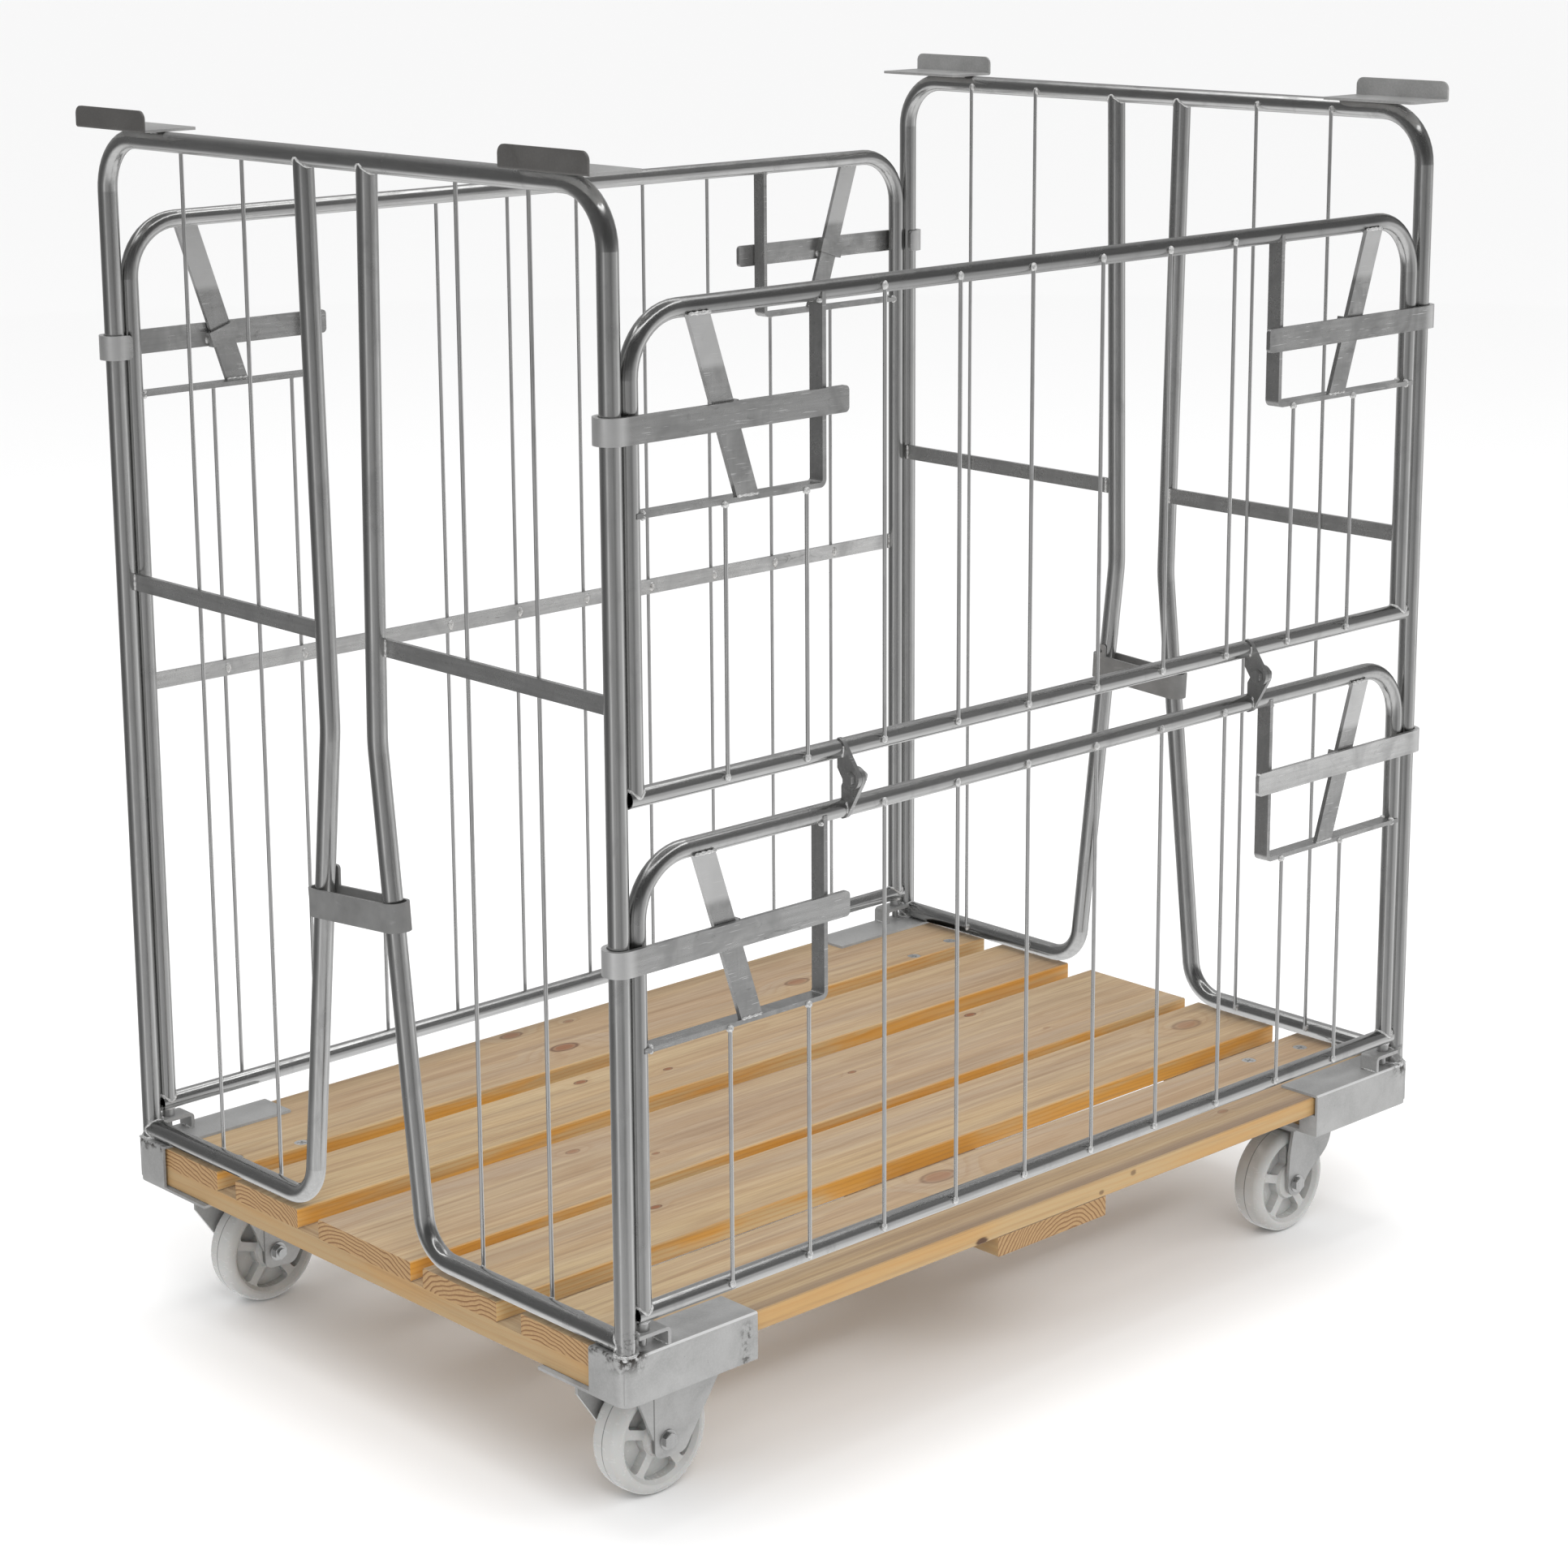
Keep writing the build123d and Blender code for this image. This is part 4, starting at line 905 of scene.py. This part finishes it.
def seat_welds(mesh, sx, sy):
    """The gate seat's leg, its tack to the post, and the sleeve's corner."""
    for face in (0, 1):
        x = sx * SEAT_INNER_X + sx * SEAT_T * face
        start, end = ((x, sy * y, SLEEVE_TOP_Z + PROUD) for y in SEAT_LEG_Y)
        run(mesh, start, end, 10, 0.0014)
    x = sx * (FRAME_X - TUBE_R - 0.0005)
    start, end = ((x, sy * y, SEAT_TOP_Z + 0.0004) for y in SEAT_TOP_Y)
    run(mesh, start, end, 7, 0.0018)
    corner_x, corner_y = SLEEVE_CORNER
    blob(mesh, (sx * corner_x, sy * corner_y, SLEEVE_TOP_Z - 0.001), CORNER_SPOT_R, 0.4)


def base_welds():
    mesh = bmesh.new()
    for sx in (-1, 1):
        for sy in (-1, 1):
            tube_welds(mesh, sx, sy)
            end_frame_welds(mesh, sx, sy)
            seat_welds(mesh, sx, sy)
    return mesh


def wire_spots(mesh, name, sx):
    """Both ends of each gate wire, and its crossing of the rear gate's mid bar."""
    side, low_z, top_z = GATES[name]
    wire_y = side * (GATE_WIRE_Y + 0.0004)
    for x in GATE_WIRE_X:
        blob(mesh, (sx * x, wire_y, low_z + RAIL_SPOT_RISE), RAIL_SPOT_R)
        if x > GUIDE_X:
            guide_z = top_z - GUIDE_DROP - GUIDE_SPOT_DROP
            blob(mesh, (sx * x, side * GUIDE_SPOT_Y, guide_z), GUIDE_SPOT_R)
        else:
            blob(mesh, (sx * x, wire_y, top_z - RAIL_SPOT_RISE), RAIL_SPOT_R)
        if name == "rear_gate":
            blob(mesh, (sx * x, REAR_BAR_Y - 0.0024, REAR_BAR_Z), BAR_SPOT_R, 0.4)


def guide_welds(mesh, sx, side, top_z):
    """The ends of a latch guide and of the diagonal on it."""
    guide_z = top_z - GUIDE_DROP
    foot_z = guide_z + FLAT_T / 2
    guide_end_x = sx * (GATE_SIDE_X - GATE_R + 0.0004)
    for dy in (-0.006, 0.006):
        y = side * (GUIDE_Y + dy)
        blob(mesh, (sx * (GUIDE_X + 0.003), y, top_z - 0.0085), GUIDE_HEAD_R)
        for dz in (0.0022, -0.0022):
            blob(mesh, (guide_end_x, y, guide_z + dz), GUIDE_END_R)
    head_x = DIAGONAL_FOOT_X + (top_z - GATE_R - foot_z) * math.tan(DIAGONAL_LEAN)
    for face in (0, 1):
        y = side * (GUIDE_FACE_Y - face * FLAT_T)
        start = (sx * (DIAGONAL_FOOT_X - DIAGONAL_HALF), y, foot_z + PROUD)
        end = (sx * (DIAGONAL_FOOT_X + DIAGONAL_HALF), y, foot_z + PROUD)
        run(mesh, start, end, 12, 0.0013)
        head_z = top_z - (0.0088 if face else 0.0058)
        start = (sx * (head_x - DIAGONAL_HALF), y, head_z)
        end = (sx * (head_x + DIAGONAL_HALF), y, head_z)
        run(mesh, start, end, 12, 0.0019)


def hinge_welds(mesh, sx, rail_z, toward):
    """Both faces of a hinge plate; toward is the way from the rail to the other gate."""
    for dx in HINGE_PLATE_FACES:
        x = sx * HINGE_X + toward * dx
        start = (x, -POST_Y - 0.0078, rail_z + toward * 0.0075)
        end = (x, -POST_Y - 0.0094, rail_z - toward * 0.004)
        run(mesh, start, end, 7, 0.0012)


def gate_welds(name):
    side, low_z, top_z = GATES[name]
    y = side * POST_Y
    mesh = bmesh.new()
    for sx in (-1, 1):
        foot = (sx * GATE_SIDE_X, y, low_z)
        bead(mesh, saddle(foot, Z_AXIS, GATE_R, X_AXIS, 1), 0.0015, True)
        wire_spots(mesh, name, sx)
        guide_welds(mesh, sx, side, top_z)
        if name == "upper_gate":
            hinge_welds(mesh, sx, low_z, -1)
        else:
            collar = ring((sx * GATE_SIDE_X, y, low_z - 0.0078), Z_AXIS, COLLAR_R, 16)
            bead(mesh, collar, 0.0014, True)
        if name == "lower_gate":
            hinge_welds(mesh, sx, top_z, 1)
        if name == "rear_gate":
            x = sx * (GATE_SIDE_X - 0.0082)
            for face in (-1, 1):
                bar_y = REAR_BAR_Y + face * FLAT_T / 2
                low = (x, bar_y, REAR_BAR_Z - SLIM_HALF)
                high = (x, bar_y, REAR_BAR_Z + SLIM_HALF)
                run(mesh, low, high, 9, 0.0021)
    return mesh


def latch_welds(sx, side, height, top_z):
    """Tack welds where the loop closes on the latch bar."""
    foot_z = top_z - GUIDE_DROP + FLAT_T / 2
    x = DIAGONAL_FOOT_X + (height - foot_z) * math.tan(DIAGONAL_LEAN)
    mesh = bmesh.new()
    for hand in (-1, 1):
        spot = (sx * x + hand * LATCH_LOOP_HALF, side * LATCH_FACE_Y, height + hand * 0.006)
        blob(mesh, spot, LOOP_SPOT_R, 0.35)
    return mesh


# ---------------- screws
HEAD_SPOKES = 40
HEAD_RINGS = 10
HEAD_SINK = 0.0005


def recess(radius, angle):
    """Depth of the cross recess at a place on the head."""
    half_width, reach, depth = SCREW_SLOT
    u = radius * abs(math.cos(angle))
    v = radius * abs(math.sin(angle))
    return depth if min(u, v) < half_width and max(u, v) < reach else 0.0


def screw(mesh, centre, spin):
    """One closed screw: the head with its recess, then the shank ring by ring to its tip."""
    def at(radius, turn, drop):
        offset = Vector((radius * math.cos(turn), radius * math.sin(turn), -drop))
        return mesh.verts.new(centre + offset)

    def skin(upper, lower):
        for k in range(HEAD_SPOKES):
            n = (k + 1) % HEAD_SPOKES
            mesh.faces.new((upper[k], lower[k], lower[n], upper[n]))

    hub = at(0.0, spin, SCREW_SLOT[2])
    outer = None
    for step in range(1, HEAD_RINGS + 1):
        radius = SCREW_HEAD_R * step / HEAD_RINGS
        layer = [at(radius, turn, recess(radius, turn - spin)) for turn in turns(HEAD_SPOKES, spin)]
        if outer is None:
            for k in range(HEAD_SPOKES):
                mesh.faces.new((hub, layer[k], layer[(k + 1) % HEAD_SPOKES]))
        else:
            skin(outer, layer)
        outer = layer
    for radius, drop in SCREW_SHANK:
        layer = [at(radius, turn, drop) for turn in turns(HEAD_SPOKES, spin)]
        skin(outer, layer)
        outer = layer
    mesh.faces.new(outer)


def screw_heads():
    """The deck screws, each turned by its own amount."""
    mesh = bmesh.new()
    for sx in (-1, 1):
        for sy in (-1, 1):
            for px, py in SCREW_SPOTS:
                centre = Vector((sx * px, sy * py, DECK_Z - HEAD_SINK))
                spin = noise.noise(Vector((px * 40 * sx, py * 50 * sy, 1))) * 3
                screw(mesh, centre, spin)
    return mesh


# ---------------- finishes on the CAD nodes
SIDES = ("left", "right")
ENDS = ("front", "rear")
EDGE_LIMIT = math.radians(38)
# above this height the upper hoop's top rail gets a painted dark reflection
UPPER_HOOP_DARK_REFLECTION_Z = 1.172
WHEEL_SEEDS = {
    "fixed_front": 1.0,
    "fixed_rear": 5.0,
    "swivel_front": 3.0,
    "swivel_rear": 8.0,
}


def paint(node, material):
    slots = NODES[node].material_slots
    if not slots:
        NODES[node].data.materials.append(material)
    for slot in slots:
        slot.material = material


def soften(node, width=0.0006, segments=2):
    """Break the sharp edges of a CAD node with a small bevel."""
    bevel = NODES[node].modifiers.new("edge", "BEVEL")
    bevel.width = width
    bevel.segments = segments
    bevel.limit_method = "ANGLE"
    bevel.angle_limit = EDGE_LIMIT
    bevel.use_clamp_overlap = True


def paint_metals():
    corners = [(side, end) for side in SIDES for end in ENDS]
    guides = [f"{gate}_latch_guides" for gate in GATES]
    hinge_plates = ["hinge_plates_lower", "hinge_plates_upper"]
    fasteners = ["lower_gate_pins", "rear_gate_pins", "hinge_bolts", "fixed_axles"]
    fasteners += [f"swivel_axle_{end}" for end in ENDS]
    plates = ["gate_seats", "swivel_plates"] + [f"swivel_fork_{end}" for end in ENDS]
    upper_hoop = zinc("zinc_upper_hoop", run_hoop, 3.6, dark_reflection_above=UPPER_HOOP_DARK_REFLECTION_Z)
    sleeve = galvanised("galvanised_sleeve", 2.0, 1.05, char_on_sleeves, sleeve_rim_highlight)
    looks = (
        (zinc("zinc_loop", run_loop, 1.0, burn=char_at_foot), [f"outer_loop_{s}" for s in SIDES]),
        (zinc("zinc_inner", run_inner, 2.0, burn=char_at_foot),
         [f"inner_tube_{side}_{end}" for side, end in corners]),
        (zinc("zinc_hoop", run_hoop, 3.0), ["lower_gate_hoop", "rear_gate_hoop"]),
        (upper_hoop, ["upper_gate_hoop"]),
        (zinc("zinc_rail", run_x, 4.0, gloss=0.14), [f"{gate}_rail" for gate in GATES]),
        (zinc("zinc_wire", run_z, 5.0, tone=1.3, gloss=0.26),
         ["end_wires"] + [f"{gate}_wires" for gate in GATES]),
        (rolled_bar("bar_mid", run_x, 4.0, tone=1.25), ["rear_gate_mid_bar"]),
        (rolled_bar("bar_along_y", run_y, 2.0), ["end_bars"]),
        (rolled_bar("bar_guides", run_guide, 3.0, 0.8, painted_sheen_heads), guides + hinge_plates),
        (zinc("zinc_fasteners", run_z, 7.0, gloss=0.26), fasteners),
        (galvanised("galvanised_plate", 1.0), plates),
        (sleeve, [f"corner_sleeve_{end}_{side}" for side, end in corners]),
        (galvanised("galvanised_stack", 3.0, 0.9, painted_dark_flaps), ["stacking_angles"]),
        (galvanised("galvanised_fork", 1.4, 1.1, fork_crease_shade), ["fixed_forks"]),
        (clamp_grey("clamp_grey"), [f"frame_clamp_{side}" for side in SIDES]),
    )
    for material, nodes in looks:
        for node in nodes:
            paint(node, material)
    for node, look in LATCH_LOOKS.items():
        paint(node, rolled_bar(f"bar_{node}", run_x, *look, pale_hooks))


def paint_wheels_and_boards():
    for wheel, seed in WHEEL_SEEDS.items():
        paint(f"wheel_{wheel}", moulded_nylon(f"nylon_{wheel}", seed))
    for node, board in BOARDS.items():
        if node == "deck_board_1":
            front_board_look = {"side_orange": 0.45, "side_shade": 0.30, "gate_shadow": 0.6}
            wood = pine(f"pine_{node}", board, FRONT_EDGE_KNOTS, **front_board_look)
        elif node.startswith("cross"):
            wood = pine(f"pine_{node}", board, side_orange=0.5, side_shade=0.5)
        else:
            wood = pine(f"pine_{node}", board)
        paint(node, wood)
        NODES[node].visible_glossy = False  # the metal mirrors the room and not the timber


def soften_edges():
    flat_stock = list(LATCH_LOOKS) + [f"{gate}_latch_guides" for gate in GATES]
    flat_stock += ["end_bars", "rear_gate_mid_bar", "gate_seats", "stacking_angles"]
    flat_stock += ["hinge_plates_lower", "hinge_plates_upper"]
    flat_stock += [f"frame_clamp_{side}" for side in SIDES]
    for node in flat_stock:
        soften(node)
    for end in ENDS:
        for side in SIDES:
            soften(f"corner_sleeve_{end}_{side}", 0.0009, 3)
        soften(f"swivel_fork_{end}", 0.0008)
    for wheel in WHEEL_SEEDS:
        soften(f"wheel_{wheel}", 0.0012, 3)
    soften("fixed_forks", 0.0008)


# ---------------- stage
FLOOR_R = 90
FLOOR_SIDES = 96
FLOOR_COLOUR = (0.94, 0.94, 0.94)

# soft box: name, place, the point it aims at, size, power
LIGHTS = (
    ("key", (-2.4, -3.4, 4.2), (0, 0, 0.4), (2.6, 2.6), 75),
    ("fill", (3.6, -3.2, 3.0), (0, 0, 0.6), (2.0, 2.6), 25),
    ("top", (0.0, 0.4, 4.6), (0, 0, 0), (3.4, 2.6), 60),
)

# What the metal mirrors: grey levels round the room, by compass angle in degrees (0 is +X,
# 90 is +Y), at the height that upright bars see and above it.
LOW_ROOM = (
    (-180, 0.34), (-168, 0.80), (-156, 0.42), (-133, 0.34), (-118, 0.32), (-104, 0.22),
    (-92, 0.30), (-78, 0.46), (-56, 0.52), (-40, 0.66), (-28, 1.00), (-16, 0.60), (0, 0.44),
    (20, 0.70), (44, 0.34), (68, 0.60), (92, 0.34), (116, 0.16), (137, 0.12), (158, 0.14),
    (180, 0.30),
)
HIGH_ROOM = (
    (-180, 0.10), (-130, 0.07), (-70, 0.10), (-40, 0.20), (-10, 0.16), (25, 0.42), (70, 0.36),
    (120, 0.14), (180, 0.10),
)
ROOM_R = 9.0
ROOM_EYE_Z = 0.65  # tilts are measured from the object's middle
ROOM_NEAR_FLOOR = 0.85
ROOM_STRIP = 2.2
ROOM_ZENITH = 0.16

# tilts in degrees over which one part of the room gives way to the next
FLOOR_TO_LOW = (-40, -18)
LOW_TO_HIGH = (-7, 9)
STRIP_STARTS = (51, 54)
STRIP_ENDS = (60, 57)
TO_ZENITH = (64, 74)


def plain_finish(name, colour):
    material = bpy.data.materials.new(name)
    material.use_nodes = True
    shader = material.node_tree.nodes["Principled BSDF"]
    shader.inputs["Base Color"].default_value = (*colour, 1)
    shader.inputs["Roughness"].default_value = 0.9
    shader.inputs["Specular IOR Level"].default_value = 0.1
    return material


def area_light(name, place, aim, size, power):
    """A soft box that lights the object but isn't mirrored in the metal."""
    data = bpy.data.lights.new(name, "AREA")
    data.shape = "RECTANGLE"
    data.size, data.size_y = size
    data.energy = power
    light = bpy.data.objects.new(name, data)
    light.location = place
    light.rotation_mode = "QUATERNION"
    light.rotation_quaternion = (Vector(place) - Vector(aim)).to_track_quat("Z", "Y")
    light.visible_glossy = False
    bpy.context.scene.collection.objects.link(light)


def stage_piece(name, mesh, material):
    """Make a finished mesh into an object for the stage."""
    data = bpy.data.meshes.new(name)
    mesh.to_mesh(data)
    mesh.free()
    data.materials.append(material)
    piece = bpy.data.objects.new(name, data)
    bpy.context.scene.collection.objects.link(piece)
    return piece


def room_light():
    """Grey levels by compass angle and tilt, given off as light."""
    g = Graph("mirrored_room")
    tilt = g.math("ARCTAN2", g.math("SUBTRACT", g.z, ROOM_EYE_Z), g.length(g.x, g.y))
    turn = g.remap_linear(g.math("ARCTAN2", g.y, g.x), -math.pi, math.pi)

    def ring_of(levels):
        return g.ramp(turn, *(((angle + 180) / 360, (level,) * 3) for angle, level in levels))

    def step(span):
        start, end = span
        return g.remap(tilt, math.radians(start), math.radians(end))

    level = g.mix(step(FLOOR_TO_LOW), (ROOM_NEAR_FLOOR,) * 3, ring_of(LOW_ROOM))
    level = g.mix(step(LOW_TO_HIGH), level, ring_of(HIGH_ROOM))
    strip = g.times(step(STRIP_STARTS), step(STRIP_ENDS))
    level = g.mix(strip, level, (ROOM_STRIP,) * 3)
    level = g.mix(step(TO_ZENITH), level, (ROOM_ZENITH,) * 3)
    g.tree.nodes.remove(g.shader)
    glow = g.add("ShaderNodeEmission")
    g.link(level, glow.inputs["Color"])
    g.link(glow.outputs[0], g.output.inputs["Surface"])
    g.material.cycles.emission_sampling = "NONE"
    return g.material


def mirrored_room():
    """A shell that only glossy rays see, which gives the metal its light and dark streaks."""
    mesh = bmesh.new()
    bmesh.ops.create_icosphere(mesh, subdivisions=5, radius=ROOM_R)
    room = stage_piece("mirrored_room", mesh, room_light())
    room.visible_camera = False
    room.visible_diffuse = False
    room.visible_shadow = False
    room.visible_transmission = False


def make_stage():
    mesh = bmesh.new()
    bmesh.ops.create_circle(mesh, cap_ends=True, segments=FLOOR_SIDES, radius=FLOOR_R)
    floor = stage_piece("floor", mesh, plain_finish("floor", FLOOR_COLOUR))
    floor.visible_glossy = False

    world = bpy.data.worlds.new("studio")
    bpy.context.scene.world = world
    world.use_nodes = True
    background = world.node_tree.nodes["Background"]
    background.inputs["Color"].default_value = (1, 1, 1, 1)
    background.inputs["Strength"].default_value = 1.0

    for light in LIGHTS:
        area_light(*light)
    mirrored_room()


# ---------------- build
def main():
    bpy.context.scene.view_settings.view_transform = "Standard"
    make_camera()
    make_stage()
    paint_metals()
    paint_wheels_and_boards()
    soften_edges()

    welds = weld_metal("weld_metal")
    new_piece("weld_beads_base", base_welds(), "base", welds)
    for gate in GATES:
        new_piece(f"weld_beads_{gate}", gate_welds(gate), gate, welds)
    for body, place in LATCHES.items():
        new_piece(f"weld_spots_{body}", latch_welds(*place), body, welds)
    steel = galvanised("screw_steel", 9.0, 1.0)
    heads = new_piece("screw_heads", screw_heads(), "base", steel, smooth=False)
    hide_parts("deck_screws")


main()
